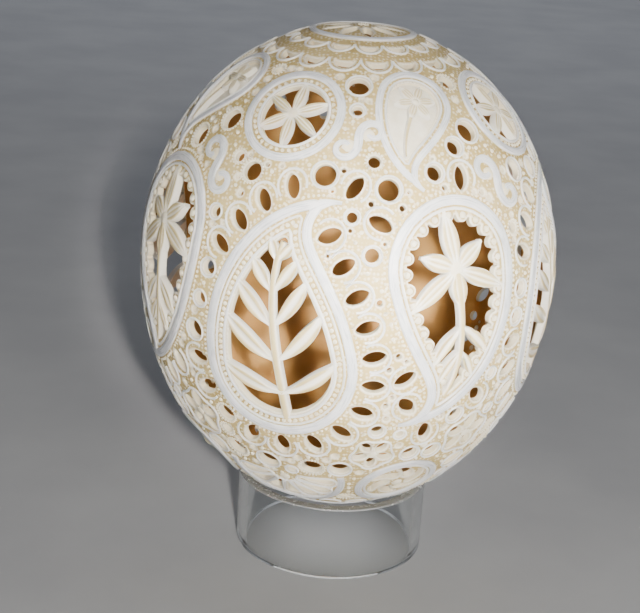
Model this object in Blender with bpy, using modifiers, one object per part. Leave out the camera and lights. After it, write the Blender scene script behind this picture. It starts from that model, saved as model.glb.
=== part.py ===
"""Ostrich egg, carved and pierced in paisleys and lace, resting in a short clear ring.

Run with: blender --background --python part.py
Metres, +Z up. The origin is the middle of the ring's foot, on the surface that it stands on.

The egg is one shell. Its openwork is drawn on a flat sheet, filled between the outlines, and
wrapped onto the egg, once for its outside and once for its hollow, with walls between them. The
drawing is in millimetres: x to the east and y to the north of each motif's middle.
"""

import math

import bmesh
import bpy
import numpy as np
from mathutils import Vector, kdtree
from mathutils.geometry import delaunay_2d_cdt

MM = 0.001

# The egg, in millimetres: half its width, and its reach above and below its widest level.
EGG_HALF_WIDTH = 65.0
EGG_REACH_UP = 74.7
EGG_REACH_DOWN = 78.8
EGG_LEVEL = 96.1  # height of the widest level above the foot of the ring
WALL = 1.9  # from the carved ground to the hollow
RELIEF = 0.7  # how far the bands of outer skin stand above the carved ground
GRID_PITCH = 13.0  # spacing of the points that round the plain stretches
OUTLINE_DETAIL = 3.0  # corners that cut off less than this many square millimetres are left out
BAND_DETAIL = 6.0
LEAST_HOLE = 4.0  # smaller gaps than this many square millimetres stay closed
EMPTYING_HOLE_RADIUS = 8.0

# The ring, in millimetres.
RING_RADIUS = 30.6
RING_WALL = 3.2
RING_HEIGHT = 24.3
RING_EDGE = 0.4
RING_STEPS = 32

# The two big paisleys: heading of the curled spine, head radius, length of the spine, its turn in
# degrees, and how late it curls. The sprig paisley has its head down, the daisy paisley up.
SPRIG_BODY = (90, 23.0, 58.0, -105, 3.0)
DAISY_BODY = (-90, 20.5, 56.0, -100, 2.8)
SPRIG_WINDOW_INSET = 7.2
DAISY_WINDOW_INSET = 5.4
BAND_WIDTH = 2.8

# Pairs of leaves on a stem: place along the spine, spread and bend in degrees, half-width.
SPRIG_LEAVES = (
    (-8.5, 78, 30, 2.1),
    (1.5, 58, 22, 2.3),
    (12.0, 46, 14, 2.2),
    (22.0, 40, 8, 1.9),
    (31.0, 34, 4, 1.5),
)
DAISY_LEAVES = ((17.0, 52, 20, 1.8), (24.5, 42, 20, 1.5))
SPRIG_STEM = (1.25, 0.8)  # half-width at its foot and at its tip
DAISY_STEM = (1.3, 0.7)
DAISY_PETALS = 6
DAISY_PETAL = (11.5, 2.6)  # length of a petal that hangs free, and half-width of each
DAISY_EYE = 2.4

# The small motifs.
STAR_RADIUS = 15.0
STAR_BAND = (2.4, 10)  # width, and corners round it
STAR_OPENING = 9.8
STAR_PETALS = 6
STAR_PETAL_HALF_WIDTH = 1.55
STAR_EYE = 1.7
WHEEL_RADIUS = 13.0
WHEEL_BAND = (2.2, 9)
WHEEL_COMMAS = 6
COMMA = (4.6, 6.9, 75, 1.3)  # distance out, length, bend and head radius beyond the tip's
COMMA_TIP = 0.35
FAN_RAYS = 7
FAN_STEP = 25  # degrees from ray to ray
FAN_RAY = (4.5, 6.5, 0.45, 1.05)  # distance out, length, foot radius, and what the tip adds
BLOSSOM_RADIUS = 8.2
BLOSSOM_PETALS = 5
BLOSSOM_PETAL = (1.9, 5.6, 1.8)  # distance out, length and half-width
DROP_BODY = (-90, 11.0, 30.0, 80, 2.4)
DROP_BAND = 2.0
ALMOND_PITCH = 9.8
ALMOND_OUTSET = 5.2  # from a paisley's edge to the middle of its row of almonds
ALMOND_CLEARANCE = 5.3
ALMOND = (7.2, 2.1)  # length and half-width

# The pierced petals round each pole: number, start, stop, half-width. The half-moons round the
# top have rows of number, distance, half-width, and shift as a share of their spacing.
TOP_PETALS = (9, 4.0, 12.5, 1.7)
TOP_MOONS = ((15, 19.5, 2.5, 0.5), (18, 27.5, 3.0, 0.0))
BOTTOM_PETALS = (10, 11.5, 18.0, 1.8)
TOP_BAND = (16.4, 2.0, 12)  # radius, width and corners

# The four repeats of the design round the egg, no two quite alike: longitude, latitude, turn in
# degrees, and size.
REPEATS = ((0, 0, 0, 1.0), (91.5, 2, 6, 0.97), (178, -1, -5, 1.03), (271, 1.5, 3, 0.99))

# Where each motif of a repeat sits: longitude, latitude and turn.
SPRIG_PLACE = (-16, -10, 8)
DAISY_PLACE = (29, 13, 10)
STAR_PLACE = (-24, 47, 0)
WHEEL_PLACE = (26, -46, 0)
FAN_PLACE = (-18, -44, 180)
FAN_SIZE = 1.2
BLOSSOM_PLACES = ((43, -29, 0, 1.0), (12, -32.5, 36, 0.8))  # and size
DROP_PLACE = (24, 52.5, -30)

# The middle of the back is carved but not pierced: degrees of longitude to each side of the back,
# and the lowest and highest latitude.
BLIND_HALF_WIDTH = 47
BLIND_LATITUDES = (-60, 25)

COLLECTION = "ostrich_egg"


# --- drawing on the egg ----------------------------------------------------------------------


def reach_of(height):
    """The egg's reach along its axis, on the side that a height or latitude lies on."""
    return np.where(height > 0, EGG_REACH_UP, EGG_REACH_DOWN)


def lay(points, spot):
    """Puts a flat drawing on the egg at (longitude, latitude, turn, size): radians come back."""
    longitude, latitude, turn = (math.radians(angle) for angle in spot[:3])
    x = spot[3] * (points[:, 0] * math.cos(turn) - points[:, 1] * math.sin(turn))
    y = spot[3] * (points[:, 0] * math.sin(turn) + points[:, 1] * math.cos(turn))
    east = np.array([math.cos(longitude), math.sin(longitude), 0.0])
    out = np.array(
        [
            EGG_HALF_WIDTH * math.cos(latitude) * math.sin(longitude),
            -EGG_HALF_WIDTH * math.cos(latitude) * math.cos(longitude),
            float(reach_of(latitude)) * math.sin(latitude),
        ]
    )
    reach = np.linalg.norm(out)
    out = out / reach
    far = np.maximum(np.hypot(x, y), 1e-9)
    side = (x[:, None] * east + y[:, None] * np.cross(out, east)) / far[:, None]
    ray = out * np.cos(far / reach)[:, None] + side * np.sin(far / reach)[:, None]
    across = np.hypot(ray[:, 0], ray[:, 1])
    tilt = np.arctan2(ray[:, 2] * EGG_HALF_WIDTH, across * reach_of(ray[:, 2]))
    return np.column_stack([np.arctan2(ray[:, 0], -ray[:, 1]), tilt])


def on_egg(places, depth=0.0):
    """Points in millimetres from the egg's middle, a depth below its outer skin."""
    longitude, latitude = places[:, 0], places[:, 1]
    out = reach_of(latitude) * np.cos(latitude)
    up = EGG_HALF_WIDTH * np.sin(latitude)
    size = np.hypot(out, up)
    radius = EGG_HALF_WIDTH * np.cos(latitude) - depth * out / size
    height = reach_of(latitude) * np.sin(latitude) - depth * up / size
    return np.column_stack(
        [radius * np.sin(longitude), -radius * np.cos(longitude), height]
    )


# The flat sheet keeps angles, as a polar map does: the top of the egg is at its middle, and the
# bottom lies far out. GROWTH is the logarithm of the radius there, worked out along the egg.
STEPS = np.linspace(-6.0, 6.0, 1201)
LEAN = 2 * np.arctan(np.exp(STEPS))
STRETCH = np.hypot(np.cos(LEAN), reach_of(-STEPS) / EGG_HALF_WIDTH * np.sin(LEAN))
GROWTH = np.concatenate([[0.0], np.cumsum((STRETCH[1:] + STRETCH[:-1]) / 2 * np.diff(STEPS))])
GROWTH = GROWTH - np.interp(0.0, STEPS, GROWTH)


def to_sheet(places):
    down = np.log(np.tan(np.clip((math.pi / 2 - places[:, 1]) / 2, 1e-4, 1.5706)))
    radius = np.exp(np.interp(down, STEPS, GROWTH))
    return np.column_stack([radius * np.sin(places[:, 0]), -radius * np.cos(places[:, 0])])


def from_sheet(points):
    radius = np.maximum(np.hypot(points[:, 0], points[:, 1]), 1e-9)
    down = np.interp(np.log(radius), GROWTH, STEPS)
    latitude = math.pi / 2 - 2 * np.arctan(np.exp(down))
    return np.column_stack([np.arctan2(points[:, 0], -points[:, 1]), latitude])


# --- brush strokes ---------------------------------------------------------------------------


def spine(x, y, heading, length, bend=0.0, late=1.0, count=9):
    """A path that starts at x, y on a heading in degrees, and turns by bend, the later the more."""
    along = np.linspace(0, 1, count)
    angle = np.radians(heading + bend * along**late)
    middle = (angle[1:] + angle[:-1]) / 2
    step = length / (count - 1)
    return np.column_stack(
        [
            x + step * np.concatenate([[0], np.cumsum(np.cos(middle))]),
            y + step * np.concatenate([[0], np.cumsum(np.sin(middle))]),
        ]
    )


def round_end(centre, radius, start, stop, per_half_turn):
    """The points between two directions round the end of a stroke."""
    if radius < 0.25:
        return np.array([centre])
    count = max(1, round(per_half_turn * (stop - start) / math.pi))
    angle = np.linspace(start, stop, count + 1)[1:-1]
    return centre + radius * np.column_stack([np.cos(angle), np.sin(angle)])


def outline(path, radius, per_half_turn=6):
    """The closed edge of a stroke: discs of changing radius along a path."""
    step = np.gradient(path, axis=0)
    length = np.hypot(step[:, 0], step[:, 1])
    ahead = step / length[:, None]
    side = np.column_stack([-ahead[:, 1], ahead[:, 0]])
    lean = np.clip(-np.gradient(radius) / length, -0.95, 0.95)
    spread = np.sqrt(1 - lean**2)
    left = path + radius[:, None] * (lean[:, None] * ahead + spread[:, None] * side)
    right = path + radius[:, None] * (lean[:, None] * ahead - spread[:, None] * side)
    heading = np.arctan2(ahead[:, 1], ahead[:, 0])
    back, front = math.acos(lean[0]), math.acos(lean[-1])
    end = round_end(path[-1], radius[-1], heading[-1] - front, heading[-1] + front, per_half_turn)
    start = round_end(
        path[0], radius[0], heading[0] + back, heading[0] + 2 * math.pi - back, per_half_turn
    )
    first = 1 if radius[0] < 0.25 else 0
    last = len(path) - 1 if radius[-1] < 0.25 else len(path)
    return np.vstack([right[first:last], end, left[first:last][::-1], start])


def leaf(x, y, heading, length, half_width, bend=0.0, front=1.0, least=0.3, count=6):
    """A leaf, a petal or a pierced almond: a stroke that swells between its two ends."""
    along = np.linspace(0, 1, count)
    radius = np.maximum(half_width * np.sin(math.pi * along**front) ** 0.85, least)
    return outline(spine(x, y, heading, length, bend, count=count), radius, 2)


def circle(radius, count, x=0.0, y=0.0):
    angle = np.linspace(0, 2 * math.pi, count, endpoint=False)
    return np.column_stack([x + radius * np.cos(angle), y + radius * np.sin(angle)])


def polar(radius, angle):
    """x, y of a point at a radius and an angle in degrees."""
    return radius * math.cos(math.radians(angle)), radius * math.sin(math.radians(angle))


# --- motifs ----------------------------------------------------------------------------------

windows = []  # cut right through the shell
kept = []  # what stays standing across the windows: stems, leaves and petals
bands = []  # (outer edge, inner edge) of the raised bands of outer skin


def paisley_body(body, count=13):
    """Path and radius of a paisley: a round head that draws out to a curled tip."""
    heading, head, length, bend, late = body
    path = spine(0, 0, heading, length, bend, late, count)
    along = np.linspace(0, 1, count)
    return path, 0.5 + (head - 0.5) * ((1 + np.cos(math.pi * along)) / 2) ** 0.85


def inset(path, radius, depth, least):
    """The same stroke, thinner all round, and ended where it would get too thin."""
    stays = radius - depth > least
    return path[stays], radius[stays] - depth


def place_on(path, distance):
    """x, y and heading at a distance along a path. Before its start it runs straight."""
    steps = np.diff(path, axis=0)
    run = np.concatenate([[0], np.cumsum(np.hypot(steps[:, 0], steps[:, 1]))])
    index = int(np.clip(np.searchsorted(run, distance) - 1, 0, len(steps) - 1))
    ahead = steps[index] / np.hypot(*steps[index])
    x, y = path[index] + ahead * (distance - run[index])
    return x, y, math.degrees(math.atan2(ahead[1], ahead[0]))


def length_to_edge(x, y, heading, bend, window, over):
    """How long a leaf from x, y has to be to end a little past the window's edge."""
    path, radius = window
    for length in np.arange(3.0, 40.0, 0.5):
        tip = spine(x, y, heading, length, bend, count=6)[-1]
        if np.max(radius - np.hypot(*(path - tip).T)) < -over:
            return length
    return 40.0


def side_leaf(spot, at, side, shape, window, path):
    """A leaf of a spray, from its stem to the window's edge."""
    spread, bend, half_width = shape
    x, y, ahead = place_on(path, at)
    heading = ahead + side * spread
    length = length_to_edge(x, y, heading, -side * bend, window, 1.5)
    shape = leaf(x, y, heading, length, half_width, -side * bend, 1.15, 0.55)
    kept.append(lay(shape, spot))


def edge_band(path, radius, width, spot):
    """The raised band along a paisley's edge."""
    inner = outline(*inset(path, radius, width, 0.5), 7)
    bands.append((lay(outline(path, radius, 7), spot), lay(inner, spot)))


def sprig_paisley(spot):
    """A paisley whose window holds a stem with pairs of leaves."""
    fine_path, fine_radius = paisley_body(SPRIG_BODY, 49)
    window = inset(fine_path, fine_radius, SPRIG_WINDOW_INSET, 0.8)
    edge_band(fine_path, fine_radius, BAND_WIDTH, spot)
    path, radius = paisley_body(SPRIG_BODY)
    windows.append(lay(outline(*inset(path, radius, SPRIG_WINDOW_INSET, 0.8), 8), spot))
    foot = np.array([[0.0, -window[1][0] - 1.5]])
    stem = np.vstack([foot, window[0][:: len(window[0]) // 6], window[0][-1:]])
    kept.append(lay(outline(stem, np.linspace(*SPRIG_STEM, len(stem)), 1), spot))
    for at, *shape in SPRIG_LEAVES:
        for side in (-1, 1):
            side_leaf(spot, at, side, shape, window, fine_path)


def daisy_paisley(spot):
    """A paisley whose window holds a daisy in its head and a leafy stem in its tail."""
    fine_path, fine_radius = paisley_body(DAISY_BODY, 49)
    window = inset(fine_path, fine_radius, DAISY_WINDOW_INSET, 0.8)
    edge_band(fine_path, fine_radius, BAND_WIDTH, spot)
    path, radius = paisley_body(DAISY_BODY)
    windows.append(lay(outline(*inset(path, radius, DAISY_WINDOW_INSET, 0.8), 8), spot))
    kept.append(lay(circle(DAISY_EYE, 6), spot))
    free_length, half_width = DAISY_PETAL
    for petal in range(DAISY_PETALS):
        heading = 90 + 360 / DAISY_PETALS * petal
        to_edge = length_to_edge(0, 0, heading, 0, window, 1.0)
        length = to_edge if petal % 2 == 0 else free_length
        kept.append(lay(leaf(0, 0, heading, length, half_width, least=0.5), spot))
    stem = np.vstack([window[0][:: len(window[0]) // 5], window[0][-1:]])
    kept.append(lay(outline(stem, np.linspace(*DAISY_STEM, len(stem)), 1), spot))
    for at, *shape in DAISY_LEAVES:
        for side in (-1, 1):
            side_leaf(spot, at, side, shape, window, fine_path)


def ring_band(radius, width, corners, spot):
    """A raised band round a medallion."""
    bands.append((lay(circle(radius, corners), spot), lay(circle(radius - width, corners), spot)))


def star_medallion(spot):
    """A round window with a star of petals."""
    ring_band(STAR_RADIUS, *STAR_BAND, spot)
    windows.append(lay(circle(STAR_OPENING, 18), spot))
    kept.append(lay(circle(STAR_EYE, 6), spot))
    for petal in range(STAR_PETALS):
        heading = 90 + 360 / STAR_PETALS * petal
        shape = leaf(0, 0, heading, STAR_OPENING + 1, STAR_PETAL_HALF_WIDTH, least=0.45)
        kept.append(lay(shape, spot))


def comma_wheel(spot):
    """A solid round with pierced commas that turn about its middle."""
    ring_band(WHEEL_RADIUS, *WHEEL_BAND, spot)
    distance, length, bend, head = COMMA
    for arm in range(WHEEL_COMMAS):
        turn = 360 / WHEEL_COMMAS * arm
        path = spine(*polar(distance, turn), turn + 40, length, bend, count=5)
        radius = head * np.linspace(1, 0, 5) ** 0.6 + COMMA_TIP
        windows.append(lay(outline(path, radius, 3), spot))


def palmette(spot):
    """A fan of pierced rays."""
    distance, length, foot, swell = FAN_RAY
    radius = foot + swell * np.array([0.0, 0.5, 1.0]) ** 1.2
    for ray in range(FAN_RAYS):
        heading = 90 + FAN_STEP * (ray - (FAN_RAYS - 1) / 2)
        path = spine(*polar(distance, heading), heading, length, count=3)
        windows.append(lay(outline(path, radius, 3), spot))


def blossom(spot):
    """A small flower of pierced petals."""
    distance, length, half_width = BLOSSOM_PETAL
    for petal in range(BLOSSOM_PETALS):
        heading = 90 + 360 / BLOSSOM_PETALS * petal
        shape = leaf(*polar(distance, heading), heading, length, half_width, count=3)
        windows.append(lay(shape, spot))


def small_drop(spot):
    """A small solid paisley within a raised band."""
    edge_band(*paisley_body(DROP_BODY, 25), DROP_BAND, spot)


def pole_rosette(latitude, petals, moons=()):
    """Pierced petals round a pole, with rows of pierced half-moons round them."""
    spot = (0, latitude, 0, 1)
    count, start, stop, half_width = petals
    for petal in range(count):
        heading = 360 / count * petal
        shape = leaf(*polar(start, heading), heading, stop - start, half_width, front=0.9)
        windows.append(lay(shape, spot))
    for count, distance, half_width, shift in moons:
        for moon in range(count):
            turn = 360 / count * (moon + shift) - 90
            across = np.linspace(-1, 1, 5) * math.pi / 2
            bow = np.column_stack([np.sin(across), 1.15 * np.cos(across)]) * half_width
            sag = np.column_stack([np.sin(-across), 0.28 * np.cos(across)]) * half_width
            shape = np.vstack([bow, sag[2:3]])
            x, y = polar(distance, turn + 90)
            cos, sin = polar(1.0, turn)
            shape = np.column_stack(
                [
                    x + shape[:, 0] * cos - shape[:, 1] * sin,
                    y + shape[:, 0] * sin + shape[:, 1] * cos,
                ]
            )
            windows.append(lay(shape, spot))


def almonds_round(body, spot, others, taken):
    """A row of pierced almonds round a paisley, left out where a neighbour is too near."""
    path, radius = paisley_body(body, 60)
    edge = outline(path, radius + ALMOND_OUTSET, 40)
    edge = np.vstack([edge, edge[:1]])
    run = np.concatenate([[0], np.cumsum(np.hypot(*np.diff(edge, axis=0).T))])
    count = round(run[-1] / ALMOND_PITCH)
    for at in np.arange(count) * run[-1] / count:
        spots = (at, (at - 0.5) % run[-1], (at + 0.5) % run[-1])
        middle, before, after = (
            np.array([np.interp(s, run, edge[:, 0]), np.interp(s, run, edge[:, 1])]) for s in spots
        )
        here = on_egg(lay(middle[None, :], spot))[0]
        near_other = any(
            np.max(size - np.linalg.norm(points - here, axis=1)) > -ALMOND_CLEARANCE
            for points, size in others
        )
        near_almond = any(np.linalg.norm(here - o) < ALMOND_PITCH - 1 for o in taken)
        if near_other or near_almond:
            continue
        taken.append(here)
        heading = math.degrees(math.atan2(*(after - before)[::-1])) - 90
        length, half_width = ALMOND
        x, y = middle - (length / 2 + 0.2) * np.array(polar(1.0, heading))
        shape = leaf(x, y, heading, length, half_width, count=3, least=0.2)
        windows.append(lay(shape, spot))


def blind(shape):
    """Whether an opening would lie in the part of the back that isn't pierced."""
    x, y, z = on_egg(shape).mean(axis=0)
    longitude = math.degrees(math.atan2(x, y))
    latitude = math.degrees(math.atan2(z * EGG_HALF_WIDTH, math.hypot(x, y) * reach_of(z)))
    low, high = BLIND_LATITUDES
    return abs(longitude) < BLIND_HALF_WIDTH and low < latitude < high


def draw_openwork():
    bodies = []  # (body or radius, spot) of every motif that keeps its neighbours off
    for longitude, latitude, turn, size in REPEATS:
        sprig = (longitude + SPRIG_PLACE[0], latitude + SPRIG_PLACE[1], SPRIG_PLACE[2] + turn, size)
        daisy = (longitude + DAISY_PLACE[0], latitude + DAISY_PLACE[1], DAISY_PLACE[2] - turn, size)
        star = (longitude + STAR_PLACE[0], STAR_PLACE[1], STAR_PLACE[2] + turn, 1)
        wheel = (longitude + WHEEL_PLACE[0], *WHEEL_PLACE[1:], 1)
        drop = (longitude + DROP_PLACE[0], DROP_PLACE[1], DROP_PLACE[2] + turn, 1)
        sprig_paisley(sprig)
        daisy_paisley(daisy)
        star_medallion(star)
        comma_wheel(wheel)
        palmette((longitude + FAN_PLACE[0], *FAN_PLACE[1:], FAN_SIZE))
        for east, *rest in BLOSSOM_PLACES:
            flower = (longitude + east, *rest)
            blossom(flower)
            bodies.append((BLOSSOM_RADIUS, flower))
        small_drop(drop)
        bodies += [(SPRIG_BODY, sprig), (DAISY_BODY, daisy)]
        bodies += [(STAR_RADIUS, star), (WHEEL_RADIUS, wheel)]
        bodies.append((DROP_BODY, drop))
    pole_rosette(90, TOP_PETALS, TOP_MOONS)
    ring_band(*TOP_BAND, (0, 90, 0, 1))
    pole_rosette(-90, BOTTOM_PETALS)
    discs = []
    for body, spot in bodies:
        path, radius = np.zeros((1, 2)), np.array([body])
        if isinstance(body, tuple):
            path, radius = paisley_body(body, 60)
        discs.append((on_egg(lay(path, spot)), spot[3] * radius))
    taken = []
    for index, (body, spot) in enumerate(bodies):
        if body is SPRIG_BODY:
            almonds_round(body, spot, discs[:index] + discs[index + 1 :], taken)
    windows[:] = [shape for shape in windows if not blind(shape)]


# --- the shell -------------------------------------------------------------------------------


def inside(points, shape):
    """Which points lie inside a closed outline, all on the flat sheet."""
    found = np.zeros(len(points), bool)
    low, high = shape.min(axis=0), shape.max(axis=0)
    near = np.nonzero(((points > low) & (points < high)).all(axis=1))[0]
    x, y = points[near, 0], points[near, 1]
    odd = np.zeros(len(near), bool)
    for (x0, y0), (x1, y1) in zip(shape, np.roll(shape, -1, axis=0)):
        if y0 != y1:
            odd ^= ((y0 > y) != (y1 > y)) & (x < x0 + (y - y0) / (y1 - y0) * (x1 - x0))
    found[near] = odd
    return found


def fill(loops, points=()):
    """Triangles between closed outlines on the sheet, and free points. Returns the corners, the
    triangles, and the number that each point of the outlines has among the corners."""
    corners = [Vector(point) for point in points]
    edges = []
    for loop in loops:
        first = len(corners)
        corners += [Vector(point) for point in loop]
        edges += [(first + i, first + (i + 1) % len(loop)) for i in range(len(loop))]
    found, _, faces, origin, *_ = delaunay_2d_cdt(corners, edges, [], 0, 1e-6)
    number = np.zeros(len(corners), int)
    for index, sources in enumerate(origin):
        number[list(sources)] = index
    return np.array([tuple(corner) for corner in found]), np.array(faces), number[len(points) :]


def edges_of_solid(faces):
    """The closed loops of corner numbers round what stays, walked with the solid on the left."""
    ends = np.concatenate([faces[:, [0, 1]], faces[:, [1, 2]], faces[:, [2, 0]]])
    whole = set(map(tuple, ends.tolist()))
    following = {a: b for a, b in whole if (b, a) not in whole}
    loops = []
    while following:
        start, corner = following.popitem()
        loop = [start]
        while corner != start:
            loop.append(corner)
            corner = following.pop(corner)
        loops.append(loop)
    return loops


def thinned(loop, least_area):
    """A loop without the corners that cut off less than an area in square millimetres."""
    points = on_egg(from_sheet(loop))
    stays = list(range(len(loop)))
    while len(stays) > 4:
        here = points[stays]
        back, ahead = np.roll(here, 1, axis=0), np.roll(here, -1, axis=0)
        area = np.linalg.norm(np.cross(here - back, ahead - here), axis=1) / 2
        least = int(np.argmin(area))
        if area[least] > least_area:
            break
        stays.pop(least)
    return loop[stays]


def area_of(loop):
    """Square millimetres inside a small loop on the egg."""
    points = on_egg(from_sheet(loop))
    spokes = points - points.mean(axis=0)
    return np.linalg.norm(np.cross(spokes, np.roll(spokes, -1, axis=0)).sum(axis=0)) / 2


def grid_points(loops):
    """Points spread evenly over the egg, where no outline is near."""
    area = 4 * math.pi * EGG_HALF_WIDTH * (EGG_REACH_UP + EGG_REACH_DOWN) / 2
    count = round(area / GRID_PITCH**2 / 0.866)
    number = np.arange(count) + 0.5
    golden = math.pi * (3 - math.sqrt(5))
    places = np.column_stack(
        [(number * golden) % (2 * math.pi) - math.pi, np.arcsin(1 - 2 * number / count)]
    )
    corners = on_egg(from_sheet(np.vstack(loops)))
    tree = kdtree.KDTree(len(corners))
    for index, corner in enumerate(corners):
        tree.insert(corner, index)
    tree.balance()
    free = [tree.find(point)[2] > 0.5 * GRID_PITCH for point in on_egg(places)]
    return to_sheet(places[free])


def pierced(faces, corners):
    """Which triangles are cut away."""
    middles = corners[faces].mean(axis=1)
    cut = np.zeros(len(faces), bool)
    for shape in windows:
        cut |= inside(middles, to_sheet(shape))
    for shape in kept:
        cut &= ~inside(middles, to_sheet(shape))
    return cut


def shell_between(holes, ribbons):
    """One face of the shell: corners on the sheet, triangles, and numbers of the holes' points."""
    loops = holes + ribbons
    corners, faces, number = fill(loops, grid_points(loops))
    middles = corners[faces].mean(axis=1)
    cut = np.zeros(len(faces), bool)
    for loop in holes:
        if not inside(np.zeros((1, 2)), loop)[0]:
            cut |= inside(middles, loop)
    return corners, faces[~cut], number


def egg_shell():
    """The carved ground as a closed shell: points on the egg, faces, and which are band."""
    rim = to_sheet(lay(circle(EMPTYING_HOLE_RADIUS, 14), (0, -90, 0, 1)))
    corners, faces, _ = fill([to_sheet(shape) for shape in windows + kept] + [rim])
    faces = faces[~pierced(faces, corners)]
    holes = [thinned(corners[loop], OUTLINE_DETAIL) for loop in edges_of_solid(faces)]
    holes = [loop for loop in holes if area_of(loop) > LEAST_HOLE]
    ribbons = [thinned(to_sheet(edge), BAND_DETAIL) for pair in bands for edge in pair]
    outer, outer_faces, outer_rim = shell_between(holes, ribbons)
    inner, inner_faces, inner_rim = shell_between(holes, [])
    middles = outer[outer_faces].mean(axis=1)
    band = np.zeros(len(outer_faces), bool)
    for outside, within in zip(ribbons[::2], ribbons[1::2]):
        band |= inside(middles, outside) & ~inside(middles, within)
    walls = []
    first = 0
    for loop in holes:
        here = first + np.arange(len(loop))
        ahead = np.roll(here, -1)
        below = inner_rim + len(outer)
        walls += zip(outer_rim[ahead], outer_rim[here], below[here], below[ahead])
        first += len(loop)
    points = np.vstack(
        [on_egg(from_sheet(outer), RELIEF), on_egg(from_sheet(inner), RELIEF + WALL)]
    )
    faces = outer_faces.tolist() + (inner_faces[:, ::-1] + len(outer)).tolist()
    faces += [[int(corner) for corner in wall] for wall in walls]
    return points, faces, np.concatenate([band, np.zeros(len(faces) - len(band), bool)])


def carved_egg(look, collection):
    points, faces, band = egg_shell()
    mesh = bpy.data.meshes.new("egg")
    mesh.from_pydata(((points + np.array([0.0, 0.0, EGG_LEVEL])) * MM).tolist(), [], faces)
    mesh.materials.append(look)
    mesh.polygons.foreach_set("material_index", band.astype(np.int32))
    raise_bands(mesh)
    collection.objects.link(bpy.data.objects.new("egg", mesh))


def raise_bands(mesh):
    """Lifts the faces marked as band to the level of the egg's outer skin."""
    body = bmesh.new()
    body.from_mesh(mesh)
    bmesh.ops.remove_doubles(body, verts=body.verts, dist=1e-6)
    marked = [face for face in body.faces if face.material_index == 1]
    made = bmesh.ops.extrude_face_region(body, geom=marked)
    middle = Vector((0.0, 0.0, EGG_LEVEL * MM))
    for corner in made["geom"]:
        if isinstance(corner, bmesh.types.BMVert):
            out = corner.co - middle
            squash = float(EGG_HALF_WIDTH / reach_of(out.z)) ** 2
            corner.co += Vector((out.x, out.y, out.z * squash)).normalized() * RELIEF * MM
    bmesh.ops.delete(body, geom=marked, context="FACES_ONLY")
    for face in body.faces:
        face.material_index = 0
    body.to_mesh(mesh)
    body.free()


# --- the ring --------------------------------------------------------------------------------


def clear_ring(look, collection):
    """A short length of clear tube with lightly broken edges, turned about its axis."""
    inner = RING_RADIUS - RING_WALL
    profile = [
        (inner, RING_HEIGHT - RING_EDGE),
        (inner + RING_EDGE, RING_HEIGHT),
        (RING_RADIUS - RING_EDGE, RING_HEIGHT),
        (RING_RADIUS, RING_HEIGHT - RING_EDGE),
        (RING_RADIUS, 0.0),
        (inner, 0.0),
    ]
    mesh = bpy.data.meshes.new("ring_stand")
    count = len(profile)
    sides = [(i, (i + 1) % count) for i in range(count)]
    mesh.from_pydata([(x * MM, 0.0, z * MM) for x, z in profile], sides, [])
    mesh.materials.append(look)
    ring = bpy.data.objects.new("ring_stand", mesh)
    collection.objects.link(ring)
    turn = ring.modifiers.new("turn", "SCREW")
    turn.steps = RING_STEPS
    turn.render_steps = RING_STEPS
    turn.use_merge_vertices = True
    turn.merge_threshold = 0.0001
    turn.use_normal_calculate = True
    return ring


# --- looks and scene -------------------------------------------------------------------------


def linear(hex_colour):
    """An sRGB colour such as D8CCA8 as linear RGBA."""
    values = [int(hex_colour[i : i + 2], 16) / 255 for i in (0, 2, 4)]
    return [v / 12.92 if v <= 0.04045 else ((v + 0.055) / 1.055) ** 2.4 for v in values] + [1.0]


def eggshell():
    look = bpy.data.materials.new("carved_eggshell")
    look.use_nodes = True
    shader = look.node_tree.nodes["Principled BSDF"]
    shader.inputs["Base Color"].default_value = linear("E6DFC8")
    shader.inputs["Roughness"].default_value = 0.5
    shader.inputs["Metallic"].default_value = 0.0
    return look


def clear_acrylic():
    look = bpy.data.materials.new("clear_acrylic")
    look.use_nodes = True
    shader = look.node_tree.nodes["Principled BSDF"]
    shader.inputs["Base Color"].default_value = linear("F4F6F6")
    shader.inputs["Roughness"].default_value = 0.03
    shader.inputs["Metallic"].default_value = 0.0
    shader.inputs["IOR"].default_value = 1.49
    shader.inputs["Transmission Weight"].default_value = 1.0
    return look


def main():
    for existing in list(bpy.data.objects):
        bpy.data.objects.remove(existing, do_unlink=True)
    collection = bpy.data.collections.new(COLLECTION)
    bpy.context.scene.collection.children.link(collection)
    draw_openwork()
    carved_egg(eggshell(), collection)
    clear_ring(clear_acrylic(), collection)


main()
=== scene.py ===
# %% [markdown]
# # A carved ostrich egg on a clear ring
# This lesson dresses a plain solid model of a carved ostrich egg: the openwork is cut finely,
# leaves and bands get their rounded relief, and the shell and the clear ring get their
# finishes. The plain model is loaded first, as a frame that says where everything goes.

# %% Load the frame
import math

import bpy
import numpy as np
from mathutils import Matrix, Vector, kdtree
from mathutils.geometry import delaunay_2d_cdt


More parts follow.
